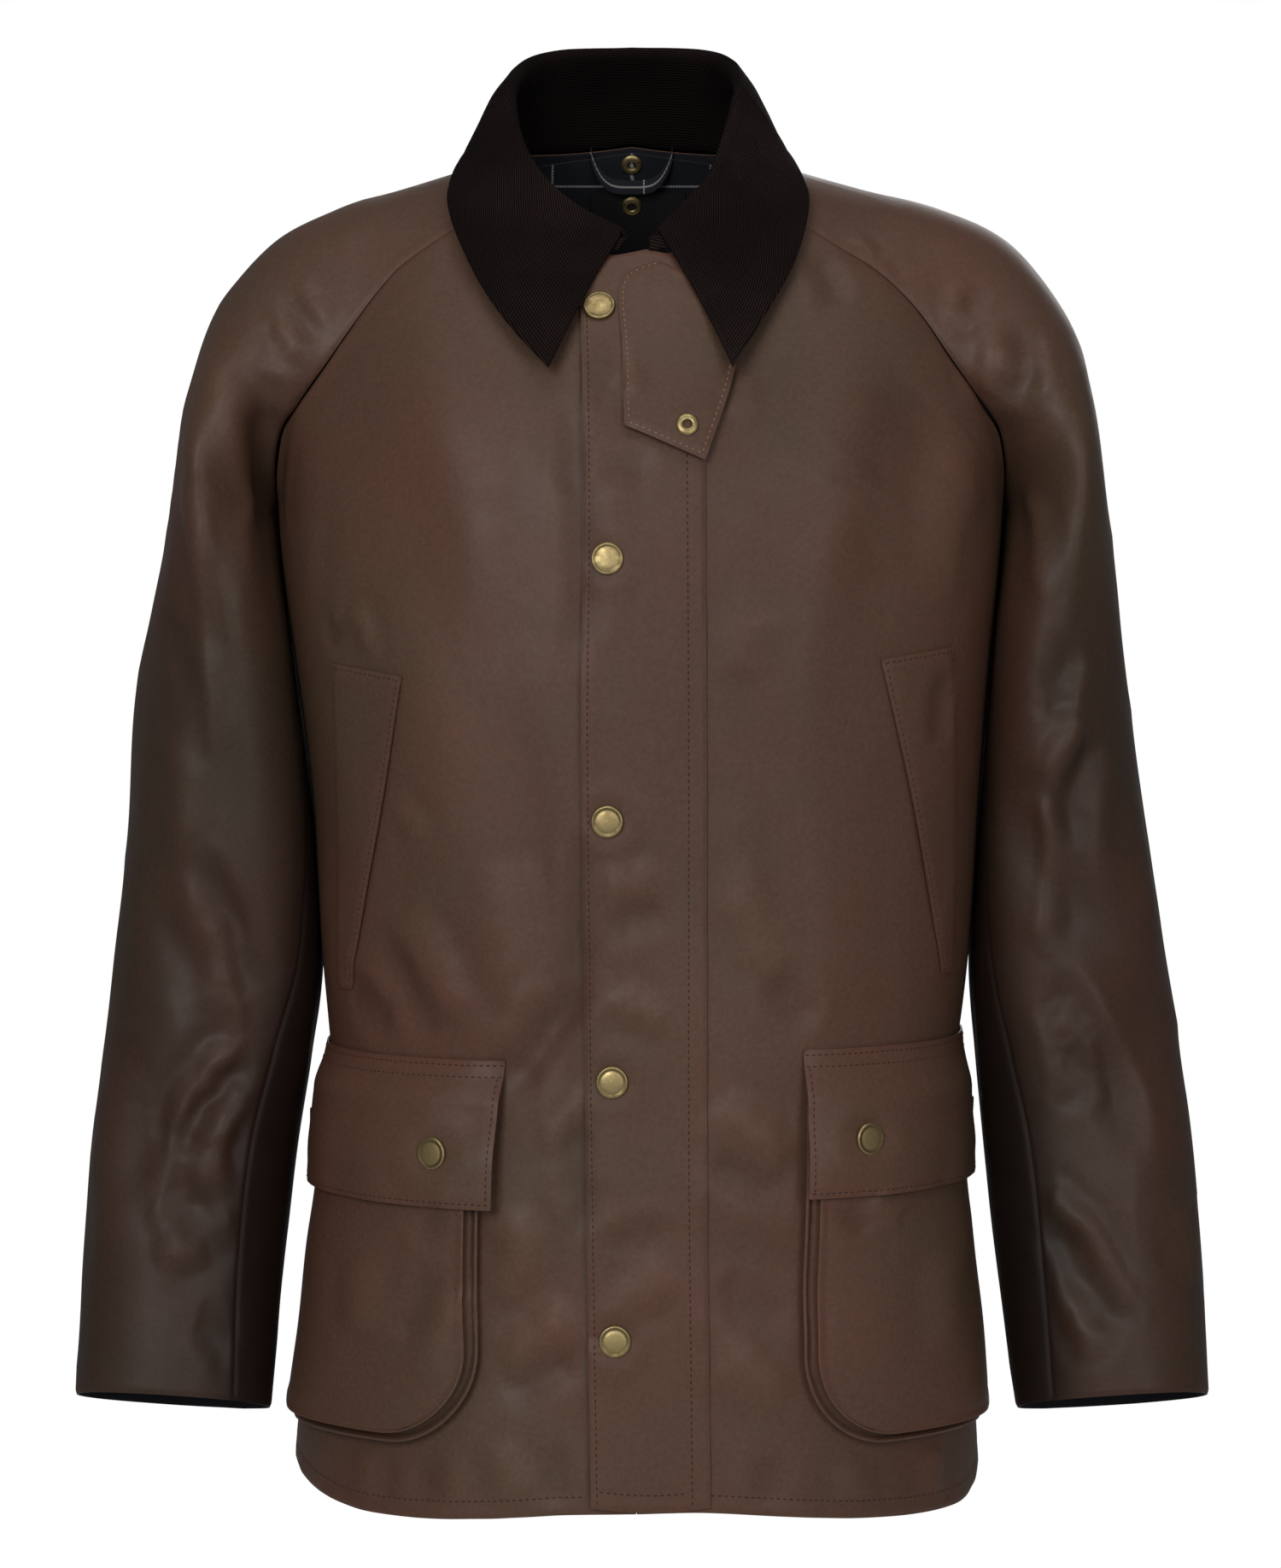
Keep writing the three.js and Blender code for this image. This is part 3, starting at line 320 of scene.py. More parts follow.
# The solids' own soft folds: place, lean in degrees, half length, half width and height
BODY_FOLDS = (
    # s, z, turn, length, width, height
    (-58, -395, 6, 90, 15, -4),
    (-66, -480, -38, 60, 18, -4.5),
    (-60, -610, -30, 50, 18, -3.5),
    (-112, -330, 8, 120, 26, 3.5),
    (-150, -160, 28, 100, 36, -3.5),
    (-96, -180, 14, 110, 22, 3),
    (150, -165, -28, 100, 36, -3.5),
    (105, -200, -16, 120, 24, 3.5),
    (66, -330, 4, 150, 18, -2.5),
    (64, -590, 60, 40, 18, -3),
    (360, -420, 24, 110, 26, -4.5),
    (-370, -400, -20, 120, 28, -4.5),
    (400, -250, 30, 90, 28, -4),
    (-400, -250, -30, 90, 28, -4),
    (440, -600, 6, 120, 26, 4),
    (-450, -610, -6, 120, 26, 4),
)
SLEEVE_FOLDS = (
    # side, share, z, turn, length, width, height
    (-1, 0.3, -230, 0.0003, 90, 0.07, -5),
    (-1, 0.5, -285, 0, 60, 0.08, 4),
    (-1, 0.27, -425, 0.0018, 50, 0.07, -6),
    (-1, 0.31, -520, -0.0016, 50, 0.07, -5),
    (-1, 0.72, -320, -0.0008, 90, 0.07, -5),
    (-1, 0.68, -465, 0.0015, 50, 0.07, -5),
    (1, 0.32, -250, -0.0004, 90, 0.07, -4),
    (1, 0.5, -160, 0, 55, 0.1, -4),
    (1, 0.28, -400, -0.0016, 50, 0.07, -6),
    (1, 0.33, -490, 0.0018, 50, 0.07, -5),
    (1, 0.7, -340, 0.0008, 90, 0.07, -5),
    (1, 0.74, -500, -0.0014, 50, 0.07, -5),
)

# The body's surface
ring_at = curves(("z", "half", "front", "back", "lean"), BODY)
hem_at = curves(("s", "right", "left"), HEM)


def on_ring(z, turn):
    """A point of a level ring. turn is 0 at the centre front, half a turn at the centre back."""
    ring = ring_at(z)
    across, along = np.sin(turn), np.cos(turn)
    depth = np.where(along > 0, ring["front"], ring["back"])
    x = ring["half"] * np.sign(across) * np.abs(across) ** (2 / POWER) + ring["lean"]
    y = -depth * np.sign(along) * np.abs(along) ** (2 / POWER)
    return np.stack([x, y, z + 0 * x], axis=-1)


LEVEL_STEP = 6
TURNS = 180
level_heights = np.arange(BODY_TOP, BODY_LOW - LEVEL_STEP - 1e-6, -LEVEL_STEP, dtype=float)
turn_steps = np.linspace(0, math.pi, TURNS + 1)
level_points = on_ring(level_heights[:, None] + 0 * turn_steps, turn_steps + 0 * level_heights[:, None])
level_lengths = np.zeros(level_points.shape[:2])
level_lengths[:, 1:] = np.cumsum(
    np.linalg.norm(np.diff(level_points[..., :2], axis=1), axis=-1), axis=1
)
LONGER_THAN_ANY = 1e4
sorted_lengths = (level_lengths + np.arange(len(level_heights))[:, None] * LONGER_THAN_ANY).ravel()


def between_levels(z, read):
    """Reads something off the two levels around z, and mixes them."""
    place = np.clip((BODY_TOP - z) / LEVEL_STEP, 0, len(level_heights) - 1.001)
    level = np.floor(place).astype(int)
    return mix(read(level), read(level + 1), place - level)


def half_round(z):
    return between_levels(z, lambda level: level_lengths[level, TURNS])


def length_at(z, turn):
    place = np.minimum(TURNS - 1e-6, turn / math.pi * TURNS)
    i = np.floor(place).astype(int)

    def read(level):
        return mix(level_lengths[level, i], level_lengths[level, i + 1], place - i)

    return between_levels(z, read)


def turn_at(z, s):
    def read(level):
        start = level * (TURNS + 1)
        low = np.searchsorted(sorted_lengths, s + level * LONGER_THAN_ANY, side="right") - 1 - start
        low = np.clip(low, 0, TURNS - 1)
        before, after = level_lengths[level, low], level_lengths[level, low + 1]
        return math.pi * (low + (s - before) / (after - before)) / TURNS

    return between_levels(z, read)


def length_to(x, z, on_back=False):
    """Length along the cloth to the point at x, on the front or the back."""
    ring = ring_at(z)
    aside = x - ring["lean"]
    turn = np.arcsin(np.minimum(1.0, np.abs(aside) / ring["half"]) ** (POWER / 2))
    turn = np.where(on_back, math.pi - turn, turn)
    return np.where(aside < 0, -1.0, 1.0) * length_at(z, turn)


def side_seam(z):
    return length_at(z, math.pi / 2) + SIDE_SEAM_BACK


def body_fold(s, z):
    height = 0 * s
    for fold_s, fold_z, degrees, length, width, tall in BODY_FOLDS:
        turn = math.radians(degrees)
        across = (s - fold_s) * math.cos(turn) + (z - fold_z) * math.sin(turn)
        along = (z - fold_z) * math.cos(turn) - (s - fold_s) * math.sin(turn)
        height = height + tall * bell(across, width) * bell(along, length)
    return height


PROBE = 1.5


def plain_body(s, z):
    return on_ring(z, np.sign(s) * turn_at(z, np.abs(s)))


def on_body(s, z, rise=0.0):
    """A patch of the body's outer face, rise above it: points, directions out, and height."""
    s, z = np.broadcast_arrays(np.asarray(s, dtype=float), np.asarray(z, dtype=float))
    along = plain_body(s + PROBE, z) - plain_body(s - PROBE, z)
    up = plain_body(s, z + PROBE) - plain_body(s, z - PROBE)
    return plain_body(s, z), unit(np.cross(along, up)), body_fold(s, z) + rise


def body_point(s, z, rise=0.0):
    points, normals, height = on_body(s, z, rise)
    return points + normals * np.asarray(height)[..., None]


# The sleeves' surface
raglan_at = curves(RAGLAN_NAMES, RAGLAN, range(len(RAGLAN)))
arm_at = curves(ARM_NAMES, ARM, range(RAGLAN_END, CUFF + 1))


def seam_of(side, station, on_back):
    """Where a raglan seam lies on the body at a station, as a length along the cloth and z."""
    row = raglan_at(station)
    x = side * (row["bx"] if on_back else row["fx"]) + row["lean"]
    z = row["bz"] if on_back else row["fz"]
    settle = smooth(station - (RAGLAN_END - 1))
    underarm = side * length_at(UNDERARM, math.pi / 2)
    return mix(length_to(x, z, on_back), underarm, settle), mix(z, UNDERARM, settle)


def xyz(x, y, z):
    return np.stack(np.broadcast_arrays(x, y, z), axis=-1).astype(float)


def section(side, station):
    """The seven control points of a sleeve's section: front seam, ridge, back seam, and handles."""
    station = np.asarray(station, dtype=float)
    high = np.minimum(station, RAGLAN_END)
    row = raglan_at(high)
    front = body_point(*seam_of(side, high, False))
    back = body_point(*seam_of(side, high, True))
    ridge = xyz(side * row["x"] + row["lean"], row["y"], row["z"])
    leave = unit(xyz(side * row["fdx"], row["fdy"], row["fdz"]))
    arrive = unit(xyz(side * row["bdx"], row["bdy"], row["bdz"]))
    raglan = (
        front,
        front + leave * row["f_out"][..., None],
        ridge - xyz(0, row["f_top"], 0),
        ridge,
        ridge + xyz(0, row["b_top"], 0),
        back + arrive * row["b_out"][..., None],
        back,
    )
    row = arm_at(np.maximum(station, RAGLAN_END))
    tilt = np.radians(row["tilt"])
    forward = xyz(0, -np.cos(tilt), np.sin(tilt))
    inner = xyz(side * row["ix"] + row["lean"], row["iy"], row["iz"])
    outer = xyz(side * row["x"], row["y"], row["z"])
    pressed = inner - xyz(side * row["hug"], 0, 0)
    ahead = forward * (row["front"] * QUARTER_REACH)[..., None]
    behind = forward * (row["back"] * QUARTER_REACH)[..., None]
    arm = (inner, pressed + ahead, outer + ahead, outer, outer - behind, pressed - behind, inner)
    low = (station > RAGLAN_END)[..., None]
    return [np.where(low, b, a) for a, b in zip(raglan, arm)]


JOIN = 0.9  # stations over which the two halves of a sleeve run into each other


def joined_section(side, station):
    """The control points of a section, with no step where the raglan's rows meet the arm's."""
    points = section(side, station)
    above = section(side, np.array([float(RAGLAN_END)]))
    below = section(side, np.array([RAGLAN_END + 1e-6]))
    fade = 1 - smooth((station - RAGLAN_END) / JOIN)
    fade = np.where(station > RAGLAN_END, fade, 0.0)[..., None]
    return [p + fade * (a[0] - b[0]) for p, a, b in zip(points, above, below)]


def on_section(points, share):
    """A point of a section, from share 0 at the front seam over 0.5 at the ridge to 1."""
    first = (share < 0.5)[..., None]
    t = np.where(share < 0.5, share * 2, share * 2 - 1)[..., None]
    a, b, c, d = (np.where(first, points[k], points[k + 3]) for k in range(4))
    u = 1 - t
    return a * u**3 + b * 3 * u * u * t + c * 3 * u * t * t + d * t**3


def sleeve_fold(side, share, z):
    height = 0 * share
    for fold_side, fold_share, fold_z, turn, length, width, tall in SLEEVE_FOLDS:
        if fold_side == side:
            across = share - fold_share - (z - fold_z) * turn
            height = height + tall * bell(across, width) * bell(z - fold_z, length)
    return height


SHARE_PROBE = 0.004
STATION_PROBE = 0.02


def on_sleeve(side, station, share):
    """A patch of a sleeve's outer face: points, directions out, and height."""
    station, share = np.broadcast_arrays(np.asarray(station, float), np.asarray(share, float))
    closed = station > RAGLAN_END

    def at(station_, share_):
        share_ = np.where(closed, share_ - np.floor(share_), np.clip(share_, 0, 1))
        columns = [p[:, None, :] for p in joined_section(side, station_[:, 0])]
        return on_section(columns, share_)

    points = at(station, share)
    low = np.minimum(station, CUFF - STATION_PROBE)
    across = at(station, share + SHARE_PROBE) - at(station, share - SHARE_PROBE)
    down = at(low + STATION_PROBE, share) - at(low - STATION_PROBE, share)
    normals = unit(np.cross(across, down)) * -side
    around = share - np.floor(share)
    calm = smooth(np.minimum(around, 1 - around) * 12)
    return points, normals, calm * sleeve_fold(side, around, points[..., 2])


def sleeve_point(side, station, share):
    points, normals, height = on_sleeve(side, [[station]], [[share]])
    return (points + normals * height[..., None])[0, 0]


EASE_ROUNDS = 70
EASE_STATIONS = 1.0


def eased(place, stations, across):
    """Smooths the sleeve's rows around the underarm, where its sections change direction, and
    leaves its sewn edges where they are."""
    points, normals, height = place
    around = bell(stations - RAGLAN_END, EASE_STATIONS)[:, None]
    inside = smooth(np.minimum(across, 1 - across) * 9)[None, :]
    weight = (0.5 * around * inside)[1:-1, :, None]
    points = points.copy()
    for _ in range(EASE_ROUNDS):
        points[1:-1] += weight * ((points[:-2] + points[2:]) / 2 - points[1:-1])
    looks = unit(np.cross(np.gradient(points, axis=1), np.gradient(points, axis=0)))
    looks = looks * np.sign((looks * normals).sum(axis=-1, keepdims=True))
    share = (around * inside)[..., None]
    return points, unit(mix(normals, looks, smooth(share * 3))), height


# Front and back panels
def panel_place(side, up, reach, on_back):
    """Where a point of a front or back panel lies, as a length along the cloth and z. up runs
    from the hem to the neck, reach from the centre to the side."""
    row = up * (LOW_ROWS + HIGH_ROWS)
    share = np.minimum(row / LOW_ROWS, 1.0)
    hem = hem_at(side_seam(HEM_FRONT))
    low_z = mix(np.where(side < 0, hem["right"], hem["left"]), UNDERARM, share)
    underarm = side * length_at(UNDERARM, math.pi / 2)
    low_s = mix(side * side_seam(low_z), underarm, smooth((share - 0.9) * 10))
    low_centre = mix(HEM_BACK if on_back else HEM_FRONT, UNDERARM, share)
    rest = np.clip((row - LOW_ROWS) / HIGH_ROWS, 0.0, 1.0)
    high_s, high_z = seam_of(side, RAGLAN_END * (1 - rest), on_back)
    high_centre = mix(UNDERARM, NECK_BACK if on_back else NECK_FRONT, rest)
    high = row > LOW_ROWS
    end_s = np.abs(np.where(high, high_s, low_s))
    end_z = np.where(high, high_z, low_z)
    dip = rest**2 * (-1 if on_back else -6)
    z = mix(np.where(high, high_centre, low_centre), end_z, reach) + dip * 4 * reach * (1 - reach)
    whole = half_round(end_z)
    if on_back:
        s = whole - reach * (whole - end_s - SEAM)
    else:
        s = SEAM + reach * (end_s - 2 * SEAM)
    hem = hem_at(s)
    lowest = np.where(side < 0, hem["right"], hem["left"])
    z = np.where(high | (share >= 1), z, mix(lowest, UNDERARM, share))
    if on_back:
        s = s + half_round(z) - whole
    return side * s, z - np.where(up >= 1, SEAM, 0)


def neck_edge(side, place):
    """The neck's edge: from 0 at the centre back, over the sleeve between 1 and 2, to 3 in front."""
    if 1 <= place < 2:
        return sleeve_point(side, 0, 2 - place)
    reach = place if place < 1 else 3 - place
    one = np.ones(1)
    s, z = panel_place(side * one, one, reach * one, place < 1)
    return body_point(s, z)[0]


# Uneven cloth: seeded soft bumps over space, so that neighbours and layers move together
NOISE_CORNER = np.array([-380.0, -240.0, -800.0])
NOISE_SIZE = np.array([760.0, 480.0, 960.0])
# Folds run down the cloth more than across it.
NOISE_STRETCH = np.array([1.0, 1.0, 1.5])


def bumps(points, size, seed):
    """Smooth random heights from -1 to 1, about one bump to each size."""
    cells = np.ceil(NOISE_SIZE / (size * NOISE_STRETCH)).astype(int) + 2
    values = np.random.default_rng(seed).uniform(-1, 1, tuple(cells))
    place = (points - NOISE_CORNER) / (size * NOISE_STRETCH)
    place = np.clip(place, 0, cells - 1.001)
    corner = np.floor(place).astype(int)
    t = smooth(place - corner)
    total = 0
    for step in np.ndindex(2, 2, 2):
        weight = np.prod(np.where(np.array(step) == 1, t, 1 - t), axis=-1)
        i, j, k = (corner[..., axis] + step[axis] for axis in range(3))
        total = total + weight * values[i, j, k]
    return total


BUMP_SIZES = (
    # size, height, seed
    (110, 1.7, 11),
    (56, 0.7, 12),
    (28, 0.22, 13),
    (13, 0.06, 14),
)
RIDGE_SIZE = 62
RIDGE_HEIGHT = 0.5


def unevenness(points):
    height = sum(tall * bumps(points, size, seed) for size, tall, seed in BUMP_SIZES)
    sharp = 1 - np.abs(bumps(points, RIDGE_SIZE, 15))
    return height + RIDGE_HEIGHT * (sharp**4 - 0.2)


# Creases, listed one by one. Each has a half width and a height, below zero for a trough, a lean
# from -1 to 1 that makes one flank steeper, and the points that it runs through, in the
# photograph's pixels.
FRONT_CREASES = (
    # The wearer's right sleeve
    (11, -4.5, 0.4, ((283, 375), (308, 470), (312, 600), (322, 752))),
    (13, 3.0, 0.0, ((262, 385), (284, 500), (290, 640), (300, 770))),
    (9, -3.0, -0.6, ((222, 540), (243, 650), (262, 790), (284, 990))),
    (12, 3.0, 0.5, ((236, 545), (258, 660), (276, 800), (298, 960))),
    (5, 1.6, 0.0, ((312, 348), (335, 385), (362, 425))),
    (5, -1.6, 0.0, ((328, 335), (350, 365), (376, 402))),
    (5, 1.4, 0.0, ((345, 322), (366, 348), (392, 378))),
    (6, -1.4, 0.0, ((300, 372), (322, 410), (345, 448))),
    (12, 5.0, 0.5, ((190, 1000), (245, 1075), (282, 1165), (303, 1222))),
    (10, -4.5, 0.3, ((215, 1000), (262, 1060), (296, 1130), (306, 1180))),
    (8, 4.0, 0.4, ((306, 1212), (262, 1240), (212, 1296), (226, 1330))),
    (8, -4.0, -0.4, ((306, 1232), (265, 1270), (222, 1330), (240, 1380))),
    (9, 3.6, 0.3, ((300, 1250), (262, 1310), (250, 1360), (285, 1420))),
    (9, -3.2, 0.3, ((190, 1370), (225, 1410), (268, 1480))),
    (9, 2.8, 0.0, ((176, 1490), (232, 1452), (296, 1418))),
    (14, 2.6, 0.0, ((140, 1215), (124, 1290), (122, 1400), (128, 1505))),
    (8, 2.0, 0.3, ((205, 560), (225, 620), (238, 690))),
    (8, -2.0, 0.0, ((180, 700), (205, 760), (215, 840))),
    (10, 2.4, 0.0, ((200, 840), (215, 930), (205, 1010))),
    (9, -2.4, 0.3, ((230, 1530), (262, 1570), (285, 1610))),
    # The wearer's left sleeve
    (9, -3.0, 0.0, ((1190, 560), (1194, 660), (1188, 760))),
    (5, 1.5, 0.0, ((1000, 272), (1012, 288), (1022, 304))),
    (5, -1.5, 0.0, ((1036, 300), (1050, 312), (1064, 322))),
    (6, 2.0, 0.2, ((1128, 322), (1124, 350), (1132, 385))),
    (6, -2.0, 0.0, ((1143, 325), (1132, 365), (1122, 405))),
    (9, -4.0, 0.4, ((1212, 368), (1200, 425), (1192, 485))),
    (10, 2.6, 0.0, ((1185, 385), (1165, 430), (1150, 480))),
    (10, 2.4, 0.0, ((1206, 550), (1210, 640), (1206, 720))),
    (9, 4.4, 0.0, ((1192, 868), (1222, 898), (1256, 866), (1284, 836))),
    (10, -4.4, 0.3, ((1264, 745), (1244, 800), (1216, 846))),
    (10, -4.4, -0.3, ((1290, 850), (1268, 915), (1244, 1000))),
    (9, -3.0, 0.0, ((1190, 925), (1196, 980), (1190, 1030))),
    (10, 3.6, 0.0, ((1200, 905), (1222, 985), (1216, 1080), (1204, 1125))),
    (11, -4.4, 0.4, ((1218, 1135), (1262, 1190), (1310, 1275), (1330, 1380))),
    (7, 2.6, 0.0, ((1232, 1160), (1262, 1205), (1292, 1256))),
    (8, -2.6, 0.0, ((1240, 1215), (1258, 1262), (1262, 1310))),
    (9, 3.4, 0.3, ((1212, 1385), (1262, 1436), (1322, 1556))),
    (9, -3.6, 0.3, ((1216, 1410), (1268, 1480), (1330, 1580))),
    (8, 2.4, 0.0, ((1222, 1500), (1260, 1545), (1290, 1600))),
    (12, 2.6, 0.0, ((1385, 1400), (1395, 1450), (1398, 1510))),
    (12, 2.2, 0.0, ((1330, 900), (1340, 1000), (1352, 1100))),
    # The wearer's right front
    (6, 2.0, 0.3, ((410, 708), (424, 735), (436, 762))),
    (6, -1.7, 0.0, ((372, 728), (386, 742), (400, 756))),
    (7, 1.8, 0.0, ((455, 935), (478, 960), (490, 995))),
    (9, -2.8, -0.5, ((662, 450), (674, 560), (676, 690), (674, 800))),
    (9, -2.4, -0.5, ((672, 960), (676, 1060), (672, 1190))),
    (9, -2.6, -0.5, ((672, 1290), (676, 1380), (676, 1460))),
    (16, 2.2, 0.0, ((600, 1000), (606, 1090), (604, 1200))),
    (12, 2.4, 0.4, ((470, 1055), (505, 1125), (545, 1210))),
    (10, -2.4, 0.0, ((430, 1085), (480, 1160), (520, 1222))),
    (10, -2.2, 0.0, ((398, 1150), (430, 1180), (462, 1212))),
    (11, -3.2, 0.4, ((690, 1145), (632, 1215), (588, 1290))),
    (10, 2.8, 0.0, ((668, 1130), (612, 1205), (575, 1240))),
    (8, 2.2, 0.0, ((690, 1285), (655, 1312), (618, 1338))),
    (12, 2.8, 0.3, ((676, 1535), (628, 1570), (575, 1600))),
    (11, -2.6, 0.0, ((668, 1575), (630, 1605), (592, 1650))),
    (10, 2.2, 0.0, ((590, 1400), (610, 1470), (600, 1540))),
    (9, 2.0, 0.0, ((430, 1690), (424, 1725), (428, 1760))),
    (9, -2.0, 0.0, ((500, 1695), (497, 1730), (500, 1768))),
    (9, 2.0, 0.0, ((575, 1680), (592, 1720), (612, 1765))),
    (8, -1.8, 0.0, ((640, 1690), (648, 1730), (650, 1768))),
    # The wearer's left front
    (22, -2.6, 0.0, ((1075, 430), (1045, 510), (1008, 590))),
    (16, 2.6, 0.0, ((1135, 500), (1120, 600), (1098, 720))),
    (8, -1.8, 0.0, ((960, 290), (972, 325), (984, 362))),
    (7, 1.6, 0.0, ((884, 430), (872, 460), (862, 490))),
    (12, 2.0, 0.0, ((862, 800), (870, 750), (890, 705))),
    (8, -1.8, 0.0, ((1108, 770), (1100, 830), (1098, 880))),
    (13, 2.2, 0.0, ((850, 1010), (890, 1090), (926, 1170))),
    (10, -2.2, 0.3, ((915, 1120), (932, 1170), (944, 1214))),
    (12, 2.6, 0.3, ((832, 1290), (880, 1322), (935, 1358))),
    (11, -2.4, 0.0, ((832, 1345), (880, 1375), (930, 1400))),
    (12, 2.4, 0.3, ((832, 1575), (880, 1606), (935, 1648))),
    (11, -2.2, 0.0, ((834, 1500), (880, 1530), (930, 1560))),
    (9, 1.8, 0.0, ((1000, 1700), (1004, 1735), (1000, 1762))),
    (9, -1.8, 0.0, ((900, 1700), (905, 1735), (900, 1765))),
    (9, 1.8, 0.0, ((1090, 1690), (1100, 1720), (1092, 1752))),
    # The storm fly and the throat
    (8, 1.8, 0.3, ((700, 1045), (735, 1032), (785, 1018))),
    (8, -1.6, 0.0, ((705, 1090), (740, 1080), (790, 1075))),
    (8, 1.8, 0.0, ((708, 1535), (752, 1512), (800, 1490))),
    (8, -1.7, 0.0, ((705, 1470), (745, 1450), (790, 1440))),
    (8, 1.6, 0.0, ((700, 1160), (745, 1180), (795, 1190))),
    (7, -1.6, 0.0, ((695, 560), (730, 545), (770, 560))),
    (8, -2.0, 0.0, ((690, 400), (705, 440), (722, 480))),
    (8, 1.8, 0.0, ((712, 400), (728, 440), (735, 470))),
    # The bellows pockets
    (12, 2.0, 0.0, ((440, 1450), (445, 1520), (442, 1570))),
    (9, 2.0, 0.3, ((545, 1500), (528, 1560), (505, 1620))),
    (9, -1.7, 0.0, ((520, 1470), (505, 1530), (490, 1580))),
    (8, -1.5, 0.0, ((505, 1410), (515, 1430), (530, 1448))),
    (9, -1.7, 0.0, ((975, 1400), (990, 1420), (1010, 1440))),
    (9, 1.7, 0.0, ((1000, 1395), (1020, 1412), (1042, 1420))),
    (14, 1.7, 0.0, ((1090, 1450), (1085, 1520), (1095, 1590))),
)
# Creases on the back, which the photograph doesn't show, by x and z
BACK_CREASES = (
    (26, -3.4, 0.0, ((-120, -150), (-100, -240), (-95, -330))),
    (26, -3.4, 0.0, ((125, -150), (108, -250), (100, -340))),
    (18, 2.8, 0.3, ((-150, -210), (-90, -260), (-20, -280))),
    (18, 2.8, 0.3, ((150, -220), (80, -275), (20, -290))),
    (14, -2.8, 0.3, ((-140, -400), (-60, -440), (30, -430))),
    (14, 2.8, 0.3, ((-150, -440), (-70, -480), (20, -475))),
    (12, -2.4, 0.0, ((140, -420), (80, -465), (20, -480))),
    (16, 2.2, 0.0, ((-60, -560), (-70, -640), (-60, -700))),
    (16, -2.2, 0.0, ((50, -550), (60, -630), (55, -705))),
    (14, 2.2, 0.0, ((110, -560), (120, -640), (118, -700))),
    (8, 1.8, 0.0, ((-150, -90), (-138, -108), (-120, -120))),
    (8, -1.8, 0.0, ((-160, -104), (-146, -122), (-128, -136))),
    (8, 1.8, 0.0, ((150, -88), (140, -110), (126, -124))),
)
# Creases on the back of the sleeves, by share and z
SLEEVE_CREASES = (
    # side, width, height, lean, path
    (-1, 10, -3.8, 0.3, ((0.93, -400), (0.8, -420), (0.65, -405))),
    (-1, 10, 3.4, 0.0, ((0.92, -440), (0.8, -452), (0.68, -446))),
    (-1, 9, -3.2, 0.0, ((0.92, -480), (0.78, -470), (0.66, -490))),
    (-1, 16, -3.4, 0.0, ((0.77, -200), (0.73, -280), (0.7, -350))),
    (-1, 12, 2.8, 0.0, ((0.85, -560), (0.75, -600), (0.65, -650))),
    (-1, 12, 2.6, 0.0, ((0.58, -250), (0.6, -330), (0.57, -420))),
    (1, 10, -3.8, -0.3, ((0.93, -392), (0.8, -408), (0.66, -398))),
    (1, 10, 3.4, 0.0, ((0.92, -428), (0.79, -446), (0.67, -438))),
    (1, 9, -3.2, 0.0, ((0.92, -470), (0.78, -462), (0.66, -478))),
    (1, 16, -3.4, 0.0, ((0.78, -190), (0.74, -270), (0.71, -350))),
    (1, 12, 2.8, 0.0, ((0.84, -570), (0.76, -610), (0.66, -640))),
    (1, 12, 2.6, 0.0, ((0.58, -240), (0.61, -330), (0.58, -430))),
)
CREASE_STEPS = 14


def through(points, steps):
    """A smooth line through a few points."""
    points = np.array(points, dtype=float)
    at = curves(range(points.shape[1]), points, range(len(points)))
    row = at(np.linspace(0, len(points) - 1, steps))
    return np.stack([row[k] for k in range(points.shape[1])], axis=-1)


def surface_cloud():
    """Points all over the front of the jacket, to find what the photograph shows at a pixel."""
    s, z = np.meshgrid(np.arange(-300, 301, 4.0), np.arange(-730, 16, 4.0))
    clouds = [body_point(s, z).reshape(-1, 3)]
    stations = np.linspace(0, CUFF, 220)[:, None]
    shares = np.linspace(0, 0.52, 60)[None, :]
    for side in (-1, 1):
        points, normals, height = on_sleeve(side, stations, shares)
        clouds.append((points + normals * height[..., None]).reshape(-1, 3))
    return np.concatenate(clouds)


front_cloud = surface_cloud()
front_columns, front_rows = seen_at(front_cloud)
NEAR_PIXELS = 6


def found(pixel):
    gap = np.hypot(front_columns - pixel[0], front_rows - pixel[1])
    close = np.flatnonzero(gap < max(NEAR_PIXELS, gap.min() + 1))
    return front_cloud[close[np.argmin(front_cloud[close, 1])]]


def station_at(z):
    """The station below the underarm whose ridge stands at z."""
    stations = np.linspace(RAGLAN_END, CUFF, 200)
    return np.interp(-z, -arm_at(stations)["z"], stations)


def crease_lines():
    lines = []
    for width, height, lean, path in FRONT_CREASES:
        line = np.array([found(pixel) for pixel in through(path, CREASE_STEPS)])
        lines.append((width, height, lean, line, np.array([0, -1, 0])))
    for width, height, lean, path in BACK_CREASES:
        x, z = through(path, CREASE_STEPS).T
        lines.append((width, height, lean, body_point(length_to(x, z, True), z), np.array([0, 1, 0])))
    for side, width, height, lean, path in SLEEVE_CREASES:
        share, z = through(path, CREASE_STEPS).T
        line = np.array([sleeve_point(side, station_at(h), w) for w, h in zip(share, z)])
        lines.append((width, height, lean, line, np.array([0, 1, 0])))
    return lines


creases = crease_lines()
CREASE_REACH = 2.6  # in half widths
FLANK = 0.28  # how deep the cloth dips beside a ridge, as a share of its height


